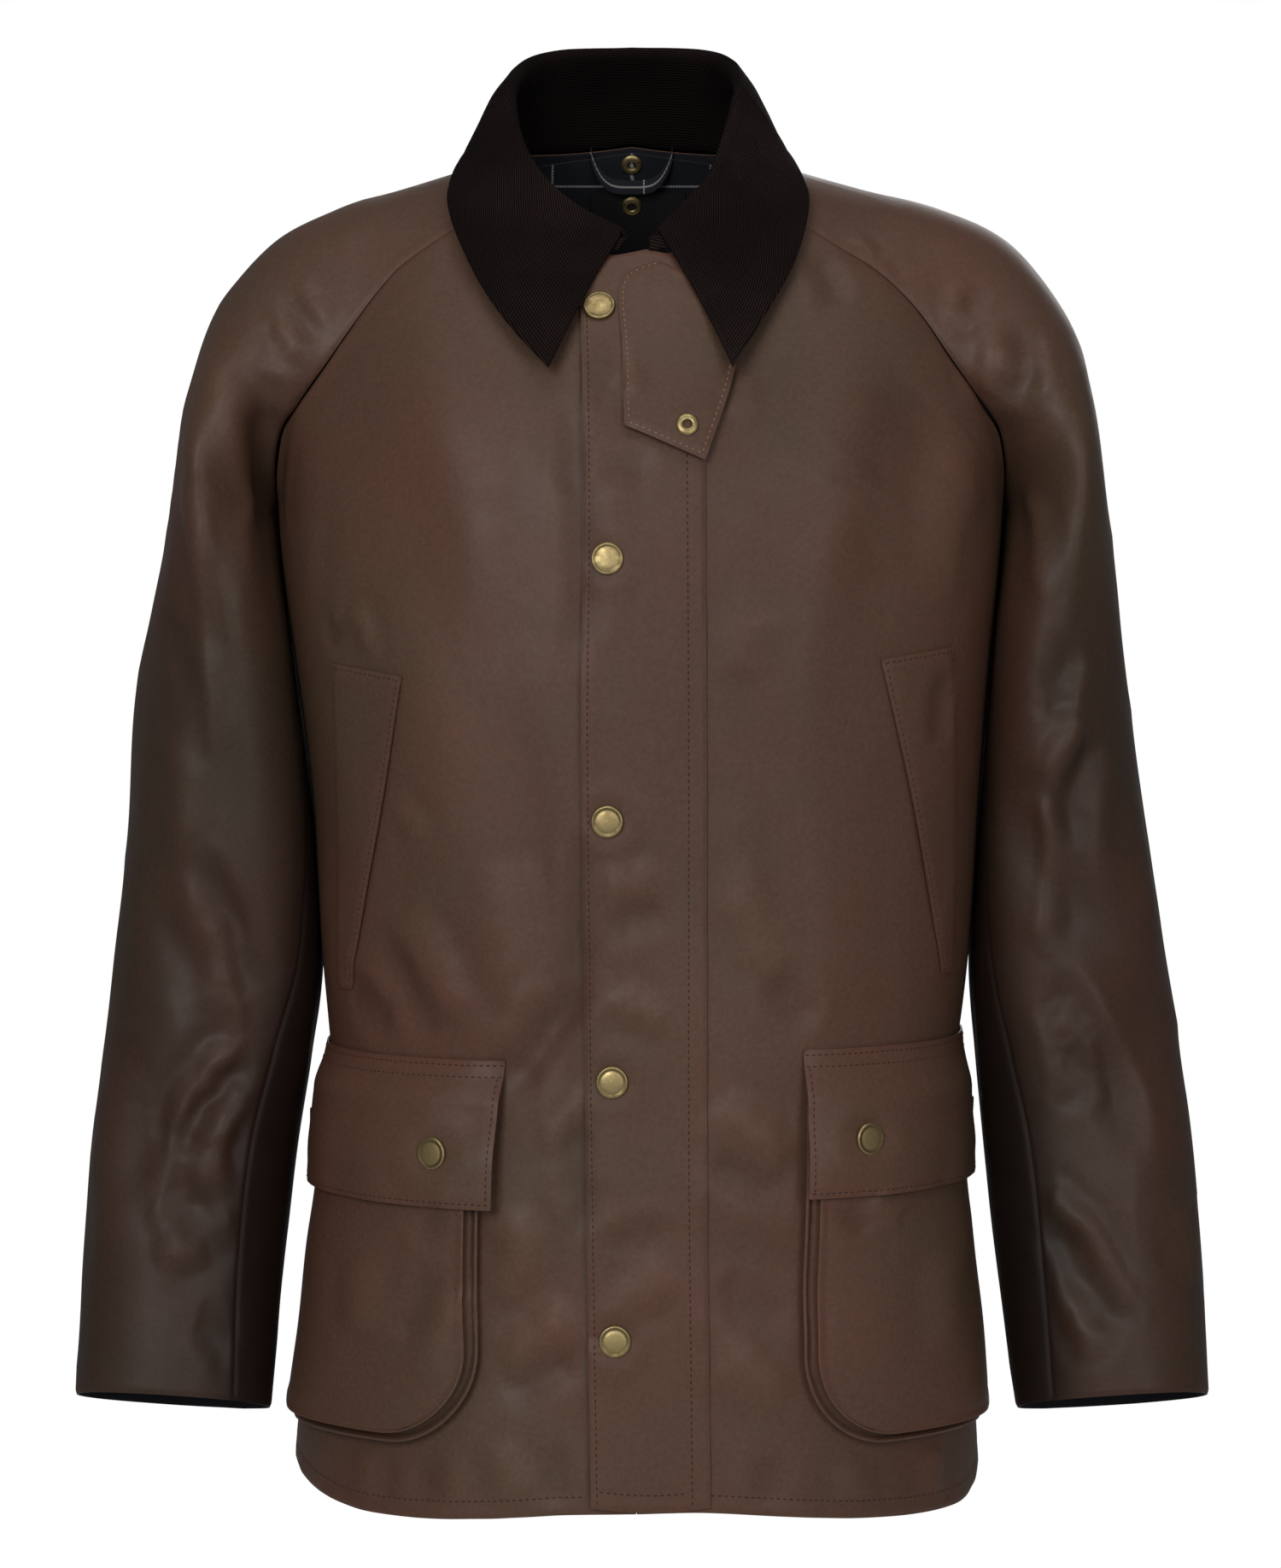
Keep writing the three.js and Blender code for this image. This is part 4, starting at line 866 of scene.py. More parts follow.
def crease_height(points):
    """How far the creases lift points of the jacket."""
    flat = points.reshape(-1, 3)
    height = np.zeros(len(flat))
    for width, tall, lean, line, view in creases:
        reach = width * CREASE_REACH
        inside = np.all((flat > line.min(axis=0) - reach) & (flat < line.max(axis=0) + reach), axis=1)
        near = np.flatnonzero(inside)
        if not len(near):
            continue
        here = flat[near][:, None, :]
        start, step = line[:-1], np.diff(line, axis=0)
        span = np.maximum((step**2).sum(axis=1), 1e-9)
        t = np.clip(((here - start) * step).sum(axis=2) / span, 0, 1)
        gap = here - start - step * t[..., None]
        distance = np.linalg.norm(gap, axis=2)
        closest = distance.argmin(axis=1)
        pick = np.arange(len(near)), closest
        sideways = np.cross(step, view)[closest]
        side = np.sign((gap[pick] * sideways).sum(axis=1))
        across = distance[pick] / (width * (1 + 0.45 * lean * side))
        along = (closest + t[pick]) / len(step)
        taper = smooth(along / 0.3) * smooth((1 - along) / 0.3)
        shape = bell(across, 1.0) - FLANK * bell(across - 1.7, 0.6)
        height[near] += tall * taper * shape
    return height.reshape(points.shape[:-1])


# The sleeves and the sides of the body face each other closely, so the cloth is calm there, and
# under the arms both swell a little until no light shows between them.
SWELL = 1.3
SWELL_Z = -215
SWELL_REACH = 45


def between(points):
    return smooth((np.abs(points[..., 0]) - 168) / 12) * smooth((222 - np.abs(points[..., 0])) / 14)


def calm_between(points):
    below = smooth((UNDERARM + 10 - points[..., 2]) / 25) * smooth((points[..., 2] + 590) / 40)
    return 1 - 0.75 * between(points) * below


# Sleeves are more rumpled than the body.
def liveliness(points):
    return 1 + 0.7 * smooth((np.abs(points[..., 0]) - 205) / 30)


def relief(points):
    """How far the worn cloth lifts off the plain form."""
    lively = unevenness(points) * liveliness(points) + crease_height(points)
    swell = SWELL * between(points) * bell(points[..., 2] - SWELL_Z, SWELL_REACH)
    return lively * calm_between(points) + swell


# Meshes
def new_object(name, vertices, faces, uvs=None, groups=None, tones=None, sharp=50):
    mesh = bpy.data.meshes.new(name)
    mesh.from_pydata((np.asarray(vertices) * MM).tolist(), [], [list(face) for face in faces])
    corners = np.empty(len(mesh.loops), dtype=np.int32)
    mesh.loops.foreach_get("vertex_index", corners)
    if uvs is not None:
        layer = mesh.uv_layers.new(name="cloth")
        layer.data.foreach_set("uv", (np.asarray(uvs) * MM)[corners].astype(np.float32).ravel())
    if tones is not None:
        layer = mesh.color_attributes.new("tone", "FLOAT_COLOR", "POINT")
        colours = np.ones((len(mesh.vertices), 4), dtype=np.float32)
        colours[:, :3] = tones
        layer.data.foreach_set("color", colours.ravel())
    if groups is not None:
        mesh.polygons.foreach_set("material_index", np.asarray(groups, dtype=np.int32))
    mesh.shade_smooth()
    mesh.set_sharp_from_angle(angle=math.radians(sharp))
    mesh.update()
    piece = bpy.data.objects.new(name, mesh)
    bpy.context.scene.collection.objects.link(piece)
    return piece


def grid_faces(rows, columns):
    corner = (np.arange(rows - 1)[:, None] * columns + np.arange(columns - 1)).reshape(-1, 1)
    return corner + np.array([0, 1, columns + 1, columns])


def rim_of(faces):
    """The edges that only one face has, in the order in which that face runs along them."""
    starts = faces.ravel()
    ends = np.roll(faces, -1, axis=1).ravel()
    count = faces.max() + 1
    forward, backward = starts * count + ends, ends * count + starts
    alone = ~np.isin(forward, backward)
    return starts[alone], ends[alone]


def closed_shell(outer, inner, faces):
    """Vertices and faces of a wall of cloth between two layers, and each face's group: 0 on the
    outer face, 1 on the inner face, 2 on the rim."""
    count = len(outer)
    middle = faces[len(faces) // 2]
    looks = np.cross(outer[middle[2]] - outer[middle[0]], outer[middle[3]] - outer[middle[1]])
    if looks @ (outer[middle[0]] - inner[middle[0]]) < 0:
        faces = faces[:, ::-1]
    starts, ends = rim_of(faces)
    rim = np.stack([ends, starts, starts + count, ends + count], axis=1)
    groups = np.repeat([0, 1, 0], [len(faces), len(faces), len(rim)])
    return np.concatenate([outer, inner]), np.concatenate([faces, faces[:, ::-1] + count, rim]), groups


# Distances over a grid of points
def distances_to_edges(points):
    across = np.zeros(points.shape[:2])
    across[:, 1:] = np.cumsum(np.linalg.norm(np.diff(points, axis=1), axis=2), axis=1)
    upwards = np.zeros(points.shape[:2])
    upwards[1:] = np.cumsum(np.linalg.norm(np.diff(points, axis=0), axis=2), axis=0)
    return {
        "left": across,
        "right": across[:, -1:] - across,
        "bottom": upwards,
        "top": upwards[-1:] - upwards,
    }


FINE_EDGE = (0, 0.5, 1.2, 2.2, 3.4, 5.0)


def shares(length, pitch):
    """Places along a length, as shares of it, closer together near both ends."""
    near = np.array(FINE_EDGE)
    count = max(2, round((length - 2 * near[-1]) / pitch))
    middle = np.linspace(near[-1], length - near[-1], count + 1)[1:-1]
    return np.concatenate([near, middle, length - near[::-1]]) / length


# Edges of cloth
ROLLED = 0.75  # how far the cloth turns down at an edge
ROLL_WIDTH = 1.5
SEWN_WIDTH = 6  # a sewn seam holds the cloth flat beside it
PUCKER = 0.55
PUCKER_WIDTH = 9
PUCKER_SIZE = 12
STITCH_PITCH = 3.6
STITCH_LENGTH = 2.5
STITCH_WIDTH = 0.9
STITCH_HEIGHT = 0.34
STITCH_FACES = (
    (0, 4, 1), (1, 4, 2), (2, 4, 3), (3, 4, 0), (1, 5, 0), (2, 5, 1), (3, 5, 2), (0, 5, 3),
)
GROOVE = 0.35
GROOVE_WIDTH = 1.4


class Cloth:
    """A grid of cloth: its plain points, the directions it looks in, and its height over them."""

    def __init__(
        self, name, place, wall, rolled=(), puckered=(), sewn=(), rows_of_stitches=(), extra=None
    ):
        points, normals, height = place
        self.name = name
        edges = distances_to_edges(points)
        raised = relief(points)
        for edge in sewn:
            raised = raised * (1 - bell(edges[edge], SEWN_WIDTH))
        lift = height + raised
        if extra is not None:
            lift = lift + extra
        for edge in puckered:
            lift = lift + PUCKER * bumps(points, PUCKER_SIZE, 21) * bell(edges[edge], PUCKER_WIDTH)
        turned = 0 * lift
        for edge in rolled:
            turned = turned + ROLLED * bell(edges[edge], ROLL_WIDTH)
        turned = np.minimum(turned, ROLLED)
        for edge, inside, *_ in rows_of_stitches:
            turned = turned + GROOVE * bell(edges[edge] - inside, GROOVE_WIDTH)
        self.outer = points + normals * (lift - turned)[..., None]
        self.inner = points + normals * (lift - wall)[..., None]
        self.normals = normals
        self.edges = edges
        near = np.minimum.reduce([edges[edge] for edge in ("left", "right", "bottom", "top")])
        # Tones: nearness to an edge; the relief, which the material shows as lighter ridges where the wax
        # rubs off and as painted shade in the troughs; and a share of painted shade, none until it is set.
        self.tones = np.stack([bell(near, 7), 0.5 + raised / 12, 0 * near], axis=-1)
        self.uvs = np.stack([edges["left"], edges["bottom"]], axis=-1)
        self.rows_of_stitches = rows_of_stitches

    # Painted shade: a share by which the cloth's colour is darkened, as if in shadow.
    def paint_shade(self, share):
        self.tones[..., 2] = share

    def make(self, materials, sharp=50):
        rows, columns = self.outer.shape[:2]
        vertices, faces, groups = closed_shell(
            self.outer.reshape(-1, 3), self.inner.reshape(-1, 3), grid_faces(rows, columns)
        )
        uvs = np.tile(self.uvs.reshape(-1, 2), (2, 1))
        tones = np.tile(self.tones.reshape(-1, 3), (2, 1))
        piece = new_object(self.name, vertices, faces, uvs, groups, tones, sharp)
        for material in materials:
            piece.data.materials.append(material)
        return piece

    def line(self, edge, inside, start, end):
        """A line inside one edge, from start to end millimetres from its ends."""
        over = self.edges[edge]
        if edge in ("left", "right"):
            strips, gaps, looks = self.outer, over, self.normals
        else:
            strips, gaps, looks = (np.swapaxes(a, 0, 1) for a in (self.outer, over, self.normals))
        if edge in ("right", "top"):
            strips, gaps, looks = strips[:, ::-1], gaps[:, ::-1], looks[:, ::-1]
        path, facing = [], []
        for strip, gap, look in zip(strips, gaps, looks):
            path.append([np.interp(inside, gap, strip[:, k]) for k in range(3)])
            facing.append([np.interp(inside, gap, look[:, k]) for k in range(3)])
        path, facing = np.array(path), np.array(facing)
        travelled = np.concatenate([[0], np.cumsum(np.linalg.norm(np.diff(path, axis=0), axis=1))])
        places = np.arange(start, travelled[-1] - end, STITCH_PITCH)
        return (
            np.stack([np.interp(places, travelled, path[:, k]) for k in range(3)], axis=1),
            unit(np.stack([np.interp(places, travelled, facing[:, k]) for k in range(3)], axis=1)),
        )

    def stitches(self):
        return [self.line(*row) for row in self.rows_of_stitches]


def stitch_object(name, lines, material, width=STITCH_WIDTH):
    """Small pointed stitches along lines, sunk half into the cloth."""
    vertices, faces = [], []
    for points, facing in lines:
        if len(points) < 3:
            continue
        along = unit(np.gradient(points, axis=0))
        aside = unit(np.cross(along, facing))
        ends = along * STITCH_LENGTH / 2
        flank = aside * width / 2
        top = facing * STITCH_HEIGHT
        ring = [-ends, flank, ends, -flank, top, -top]
        start = sum(len(v) for v in vertices)
        vertices.append(np.stack([points + offset for offset in ring], axis=1).reshape(-1, 3))
        base = start + 6 * np.arange(len(points))[:, None]
        for corners in STITCH_FACES:
            faces.append(base + np.array(corners))
    piece = new_object(name, np.concatenate(vertices), np.concatenate(faces), sharp=180)
    piece.data.materials.append(material)
    return piece


# Materials
class Nodes:
    """Adds nodes to a material's tree, and links them."""

    def __init__(self, name):
        self.material = bpy.data.materials.new(name)
        self.material.use_nodes = True
        self.tree = self.material.node_tree
        self.shader = self.tree.nodes["Principled BSDF"]

    def add(self, kind, inputs=None, **settings):
        node = self.tree.nodes.new(kind)
        for key, value in settings.items():
            setattr(node, key, value)
        for key, value in (inputs or {}).items():
            if isinstance(value, bpy.types.NodeSocket):
                self.tree.links.new(value, node.inputs[key])
            else:
                node.inputs[key].default_value = value
        return node

    def noise(self, vector, scale, detail=3.0, roughness=0.5):
        inputs = {"Vector": vector, "Scale": scale, "Detail": detail, "Roughness": roughness}
        return self.add("ShaderNodeTexNoise", inputs).outputs["Fac"]

    def maths(self, operation, *values):
        node = self.tree.nodes.new("ShaderNodeMath")
        node.operation = operation
        for socket, value in zip(node.inputs, values):
            if isinstance(value, bpy.types.NodeSocket):
                self.tree.links.new(value, socket)
            else:
                socket.default_value = value
        return node.outputs[0]

    def ranged(self, value, low, high, to_low, to_high):
        inputs = {"Value": value, "From Min": low, "From Max": high, "To Min": to_low, "To Max": to_high}
        return self.add("ShaderNodeMapRange", inputs).outputs["Result"]

    def mixed(self, share, a, b, blend="MIX"):
        node = self.tree.nodes.new("ShaderNodeMix")
        node.data_type = "RGBA"
        node.blend_type = blend
        for key, value in (("Factor_Float", share), ("A_Color", a), ("B_Color", b)):
            socket = next(s for s in node.inputs if s.identifier == key)
            if isinstance(value, bpy.types.NodeSocket):
                self.tree.links.new(value, socket)
            else:
                socket.default_value = value
        return next(s for s in node.outputs if s.identifier == "Result_Color")

    def bump(self, height, strength, distance, below=None):
        inputs = {"Height": height, "Strength": strength, "Distance": distance}
        if below is not None:
            inputs["Normal"] = below
        return self.add("ShaderNodeBump", inputs).outputs["Normal"]

    def link(self, socket, name):
        self.tree.links.new(socket, self.shader.inputs[name])

    def set(self, **values):
        for name, value in values.items():
            self.shader.inputs[name.replace("_", " ")].default_value = value


def rgb(red, green, blue):
    return (red, green, blue, 1.0)


WEAVE_PITCH = 0.00055


def woven(nodes, uv, pitch):
    """Height of a plain weave: threads over and under each other."""
    turns = math.pi / pitch
    split = nodes.add("ShaderNodeSeparateXYZ", {"Vector": uv})
    across = nodes.maths("SINE", nodes.maths("MULTIPLY", split.outputs["X"], turns))
    along = nodes.maths("SINE", nodes.maths("MULTIPLY", split.outputs["Y"], turns))
    return nodes.maths("MULTIPLY", across, along)


def waxed_cotton(name, cool, warm, rough_low, rough_high):
    nodes = Nodes(name)
    place = nodes.add("ShaderNodeTexCoord")
    uv, here = place.outputs["UV"], place.outputs["Object"]
    tone = nodes.add("ShaderNodeSeparateColor", {
        "Color": nodes.add("ShaderNodeVertexColor", layer_name="tone").outputs["Color"]
    })
    # The tone's blue share is painted shade, which darkens the lower sleeves and the under sleeves.
    edge, raised, dark = (tone.outputs[channel] for channel in ("Red", "Green", "Blue"))
    patches = nodes.noise(here, 7.0, 4.0, 0.55)
    blotch = nodes.ranged(patches, 0.38, 0.64, 0.0, 1.0)
    warmth = nodes.maths("ADD", nodes.maths("MULTIPLY", blotch, 0.75), nodes.maths("MULTIPLY", edge, 0.22))
    colour = nodes.mixed(nodes.maths("MINIMUM", warmth, 1.0), cool, warm)
    fine = nodes.noise(here, 420.0, 2.0)
    speckle = nodes.ranged(fine, 0.3, 0.7, 0.9, 1.1)
    # Ridges lighter, where the wax rubs off, and troughs darker, which is painted shade.
    ridge = nodes.ranged(raised, 0.3, 0.75, 0.86, 1.14)
    light = nodes.maths("MULTIPLY", speckle, ridge)
    # Painted shade: the colour is darkened by the tone's blue share.
    light = nodes.maths("MULTIPLY", light, nodes.maths("SUBTRACT", 1.0, dark))
    lights = nodes.add("ShaderNodeCombineColor", {"Red": light, "Green": light, "Blue": light})
    nodes.link(nodes.mixed(1.0, colour, lights.outputs["Color"], "MULTIPLY"), "Base Color")
    smear = nodes.noise(here, 26.0, 5.0, 0.6)
    nodes.link(nodes.ranged(smear, 0.3, 0.72, rough_low, rough_high), "Roughness")
    cloth = nodes.bump(woven(nodes, uv, WEAVE_PITCH), 0.16, 0.0001)
    rumple = nodes.bump(nodes.noise(here, 45.0, 4.0, 0.5), 0.14, 0.0024, cloth)
    nodes.link(rumple, "Normal")
    nodes.set(Specular_IOR_Level=0.27, IOR=1.46, Coat_Weight=0.03, Coat_Roughness=0.34)
    return nodes.material


WALE_PITCH = 0.00145


def corduroy(name, colour, valley):
    nodes = Nodes(name)
    place = nodes.add("ShaderNodeTexCoord")
    uv, here = place.outputs["UV"], place.outputs["Object"]
    split = nodes.add("ShaderNodeSeparateXYZ", {"Vector": uv})
    wander = nodes.maths("MULTIPLY", nodes.noise(here, 60.0, 2.0), 0.0008)
    across = nodes.maths("ADD", split.outputs["Y"], wander)
    wave = nodes.maths("SINE", nodes.maths("MULTIPLY", across, 2 * math.pi / WALE_PITCH))
    wale = nodes.ranged(wave, -1.0, 1.0, 0.0, 1.0)
    pile = nodes.noise(here, 900.0, 2.0)
    shade = nodes.maths("MULTIPLY", wale, nodes.ranged(pile, 0.3, 0.7, 0.7, 1.2))
    worn = nodes.ranged(nodes.noise(here, 16.0, 4.0), 0.35, 0.7, 0.7, 1.3)
    tone = nodes.add("ShaderNodeSeparateColor", {
        "Color": nodes.add("ShaderNodeVertexColor", layer_name="tone").outputs["Color"]
    })
    # Painted shade: the tone's blue share darkens the collar's stand at the back of the neck.
    worn = nodes.maths("MULTIPLY", worn, nodes.maths("SUBTRACT", 1.0, tone.outputs["Blue"]))
    base = nodes.mixed(shade, valley, colour)
    lights = nodes.add("ShaderNodeCombineColor", {"Red": worn, "Green": worn, "Blue": worn})
    nodes.link(nodes.mixed(1.0, base, lights.outputs["Color"], "MULTIPLY"), "Base Color")
    ribs = nodes.bump(wale, 0.9, 0.0007)
    nodes.link(nodes.bump(pile, 0.4, 0.0003, ribs), "Normal")
    nodes.set(Roughness=1.0, Specular_IOR_Level=0.05)
    return nodes.material


def plain_cloth(name, dark, light, roughness=0.85):
    nodes = Nodes(name)
    place = nodes.add("ShaderNodeTexCoord")
    uv, here = place.outputs["UV"], place.outputs["Object"]
    colour = nodes.mixed(nodes.noise(here, 60.0, 4.0), dark, light)
    nodes.link(colour, "Base Color")
    nodes.link(nodes.bump(woven(nodes, uv, WEAVE_PITCH), 0.3, 0.0001), "Normal")
    nodes.set(Roughness=roughness, Specular_IOR_Level=0.25)
    return nodes.material


CHECK_PITCH = 0.046
CHECK_LINE = 0.0011


def checked_cloth(name, ground, line):
    """A dark woven ground with a plain windowpane of thin pale lines."""
    nodes = Nodes(name)
    place = nodes.add("ShaderNodeTexCoord")
    uv, here = place.outputs["UV"], place.outputs["Object"]
    split = nodes.add("ShaderNodeSeparateXYZ", {"Vector": uv})
    lines = []
    for axis, other in (("X", "Y"), ("Y", "X")):
        over = nodes.maths("PINGPONG", split.outputs[axis], CHECK_PITCH / 2)
        on_line = nodes.maths("LESS_THAN", over, CHECK_LINE / 2)
        twill = nodes.maths("SINE", nodes.maths("MULTIPLY", split.outputs[other], 2 * math.pi / 0.0016))
        lines.append(nodes.maths("MULTIPLY", on_line, nodes.ranged(twill, -1.0, 1.0, 0.3, 1.0)))
    share = nodes.maths("MAXIMUM", *lines)
    base = nodes.mixed(nodes.noise(here, 80.0, 3.0), ground, tuple(v * 1.6 for v in ground[:3]) + (1.0,))
    nodes.link(nodes.mixed(share, base, line), "Base Color")
    nodes.link(nodes.bump(woven(nodes, uv, WEAVE_PITCH), 0.3, 0.0001), "Normal")
    nodes.set(Roughness=0.85, Specular_IOR_Level=0.25)
    return nodes.material


def brass(name):
    """Antiqued brass: dark in its groove, rubbed bright on its rim and middle."""
    nodes = Nodes(name)
    place = nodes.add("ShaderNodeTexCoord")
    here = place.outputs["Object"]
    radius = nodes.add("ShaderNodeSeparateXYZ", {"Vector": place.outputs["UV"]}).outputs["X"]
    worn = nodes.noise(here, 260.0, 4.0)
    groove = nodes.add("ShaderNodeValToRGB", {"Fac": nodes.ranged(radius, 0.0, 0.01, 0.0, 1.0)})
    ramp = groove.color_ramp
    ramp.elements[0].position, ramp.elements[0].color = 0.0, rgb(1, 1, 1)
    ramp.elements[1].position, ramp.elements[1].color = 1.0, rgb(1, 1, 1)
    for position, value in ((0.55, 0.95), (0.66, 0.45), (0.74, 0.5), (0.8, 0.9)):
        element = ramp.elements.new(position)
        element.color = rgb(value, value, value)
    metal = nodes.mixed(nodes.ranged(worn, 0.3, 0.7, 0.0, 1.0), rgb(0.42, 0.33, 0.16), rgb(0.30, 0.22, 0.10))
    nodes.link(nodes.mixed(1.0, metal, groove.outputs["Color"], "MULTIPLY"), "Base Color")
    nodes.link(nodes.ranged(worn, 0.3, 0.7, 0.36, 0.54), "Roughness")
    nodes.link(nodes.bump(nodes.noise(here, 700.0, 3.0), 0.18, 0.0002), "Normal")
    nodes.set(Metallic=1.0)
    return nodes.material


def thread(name, colour):
    nodes = Nodes(name)
    here = nodes.add("ShaderNodeTexCoord").outputs["Object"]
    darker = tuple(value * 0.6 for value in colour[:3]) + (1.0,)
    nodes.link(nodes.mixed(nodes.noise(here, 300.0, 2.0), darker, colour), "Base Color")
    nodes.set(Roughness=0.6, Specular_IOR_Level=0.3)
    return nodes.material


WAX = waxed_cotton("waxed_cotton", rgb(0.080, 0.046, 0.028), rgb(0.100, 0.042, 0.027), 0.44, 0.6)
CORDUROY = corduroy("corduroy", rgb(0.025, 0.016, 0.014), rgb(0.004, 0.0025, 0.0025))
INSIDE = plain_cloth("lining", rgb(0.008, 0.009, 0.012), rgb(0.014, 0.015, 0.02))
CHECK = checked_cloth("lining_check", rgb(0.006, 0.007, 0.010), rgb(0.30, 0.29, 0.28))
LABEL = plain_cloth("label", rgb(0.006, 0.006, 0.006), rgb(0.012, 0.012, 0.012), 0.6)
BRASS = brass("brass")
THREAD = thread("thread", rgb(0.045, 0.018, 0.012))
TAB_THREAD = thread("tab_thread", rgb(0.34, 0.22, 0.15))
DARK_THREAD = thread("dark_thread", rgb(0.02, 0.014, 0.012))


def keep(piece, node):
    """A piece rides on the jacket's body and stands for its solid, which is hidden."""
    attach(piece, "root")
    if node:
        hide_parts(node)


def sew(cloth, node, materials, material=THREAD, with_pieces=()):
    """Makes a piece of cloth and its stitches."""
    piece = cloth.make(materials)
    trims = list(with_pieces)
    lines = cloth.stitches()
    if lines:
        stitches = stitch_object(cloth.name + "_stitches", lines, material)
        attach(stitches, "root")
        trims.append(stitches)
    keep(piece, node)
    return piece


PITCH = 3.2
SIDES = (("right", -1), ("left", 1))


def make_fronts():
    up, reach = np.meshgrid(shares(690, PITCH), shares(285, PITCH), indexing="ij")
    for name, side in SIDES:
        s, z = panel_place(side + 0 * up, up, reach, False)
        cloth = Cloth(
            "cloth_front_" + name,
            on_body(s, z),
            CLOTH,
            rolled=("left", "right", "bottom", "top"),
            puckered=("right", "bottom"),
            sewn=("right", "top"),
            rows_of_stitches=(("bottom", 9.5, 30, 1),),
        )
        sew(cloth, "front_" + name, (WAX, INSIDE))


def make_back():
    half = shares(285, PITCH)[len(FINE_EDGE):]
    across = np.concatenate([-half[::-1], [0.0], half])
    up, across = np.meshgrid(shares(735, PITCH), across, indexing="ij")
    side = np.where(across < 0, -1.0, 1.0)
    s, z = panel_place(side, up, np.abs(across), True)
    cloth = Cloth(
        "cloth_back",
        on_body(s, z),
        CLOTH,
        rolled=("left", "right", "bottom", "top"),
        puckered=("left", "right", "bottom"),
        sewn=("left", "right", "top"),
        rows_of_stitches=(("bottom", 9.5, 1, 1),),
    )
    sew(cloth, "back", (WAX, INSIDE))


def section_gaps(side, station):
    """The share at which the under sleeve meets the upper sleeve, and a gap there as shares."""
    p = section(side, station)
    under = np.where(station <= RAGLAN_END, 0.0, arm_at(np.maximum(station, RAGLAN_END))["under"] / 2)
    front_gap = SLEEVE_GAP / (6 * np.linalg.norm(p[1] - p[0], axis=-1))
    back_gap = SLEEVE_GAP / (6 * np.linalg.norm(p[6] - p[5], axis=-1))
    return under, front_gap, back_gap


TURNING = 6  # half the width of the turnings inside a raglan seam
TURNING_WALL = 0.6
TURNING_DEPTH = 0.4  # under the panel's inner face


def make_turnings(name, side, on_back):
    """The turnings inside a raglan seam, which also keep light from showing through it."""
    seam_s, seam_z = seam_of(side, np.linspace(0.3, RAGLAN_END, 150), on_back)
    away = np.linspace(-TURNING, TURNING, 7)[None, :]
    to_centre = side if on_back else -side
    s = seam_s[:, None] + 0.35 * to_centre * away
    z = seam_z[:, None] - 0.9 * away
    points, normals, fold = on_body(s, z)
    raised = relief(points) * (1 - bell(away, SEWN_WIDTH))
    lift = fold + raised - CLOTH - TURNING_DEPTH
    end = "back" if on_back else "front"
    cloth = Cloth(f"turnings_{name}_{end}", (points, normals, fold), TURNING_WALL)
    cloth.outer = points + normals * lift[..., None]
    cloth.inner = points + normals * (lift - TURNING_WALL)[..., None]
    piece = cloth.make((INSIDE, INSIDE))
    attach(piece, "root")
    return piece


# Painted shade on the sleeves: they darken downwards, and the under sleeves and the cloth beside their seams
# darken most, as if in the shadow between arm and body.
SLEEVE_PAINTED_SHADE = 0.5  # painted shade on the lower sleeves, as a share of the cloth's colour
SLEEVE_PAINTED_SHADE_FROM = -60
SLEEVE_PAINTED_SHADE_OVER = 240
UNDER_PAINTED_SHADE = 0.88
UNDER_SHADE_WIDTH = 16


def make_sleeves():
    high = np.linspace(0, RAGLAN_END, round(290 / PITCH))
    low = RAGLAN_END + (CUFF - RAGLAN_END) * shares(490, PITCH)
    low = low[low > RAGLAN_END + 0.02]
    stations = np.concatenate([high, low])
    across = shares(330, PITCH)
    for name, side in SIDES:
        under, front_gap, back_gap = (a[:, None] for a in section_gaps(side, stations))
        share = mix(under + front_gap, 1 - under - back_gap, across[None, :])
        cloth = Cloth(
            "cloth_sleeve_" + name,
            eased(on_sleeve(side, stations[:, None], share), stations, across),
            CLOTH,
            rolled=("left", "right", "top"),
            puckered=("left", "right"),
            sewn=("left", "right"),
        )
        # Painted shade: the sleeve darkens down the arm, and most beside the under sleeve's seams, as if in
        # shadow.
        lower = smooth((SLEEVE_PAINTED_SHADE_FROM - cloth.outer[..., 2]) / SLEEVE_PAINTED_SHADE_OVER)
        painted_shade_by_seam = bell(np.minimum(cloth.edges["left"], cloth.edges["right"]), UNDER_SHADE_WIDTH)
        cloth.paint_shade(mix(SLEEVE_PAINTED_SHADE * lower, UNDER_PAINTED_SHADE, 0.8 * painted_shade_by_seam * lower))
        turnings = [make_turnings(name, side, on_back) for on_back in (False, True)]
        sew(cloth, "sleeve_" + name, (WAX, INSIDE),
            with_pieces=turnings)
        first = RAGLAN_END + (CUFF - RAGLAN_END) * UNDER_START / ARM_ROWS
        rows = first + (CUFF - first) * shares(480, PITCH)
        under = section_gaps(side, rows)[0][:, None]
        strip = mix(-under, under, shares(70, PITCH)[None, :])
        cloth = Cloth(
            "cloth_under_sleeve_" + name,
            on_sleeve(side, rows[:, None], strip),
            CLOTH,
            rolled=("left", "right", "top"),
            sewn=("left", "right"),
        )
        # Painted shade over the whole under sleeve, which lies in the shadow between arm and body.
        cloth.paint_shade(UNDER_PAINTED_SHADE)
        sew(cloth, "under_sleeve_" + name, (WAX, INSIDE))


# The collar
STAND_PAINTED_SHADE = 0.75  # painted shade: the back of the neck is in shade
COLLAR_GRAIN = math.radians(42)  # how far the wales turn from the roll at the front ends


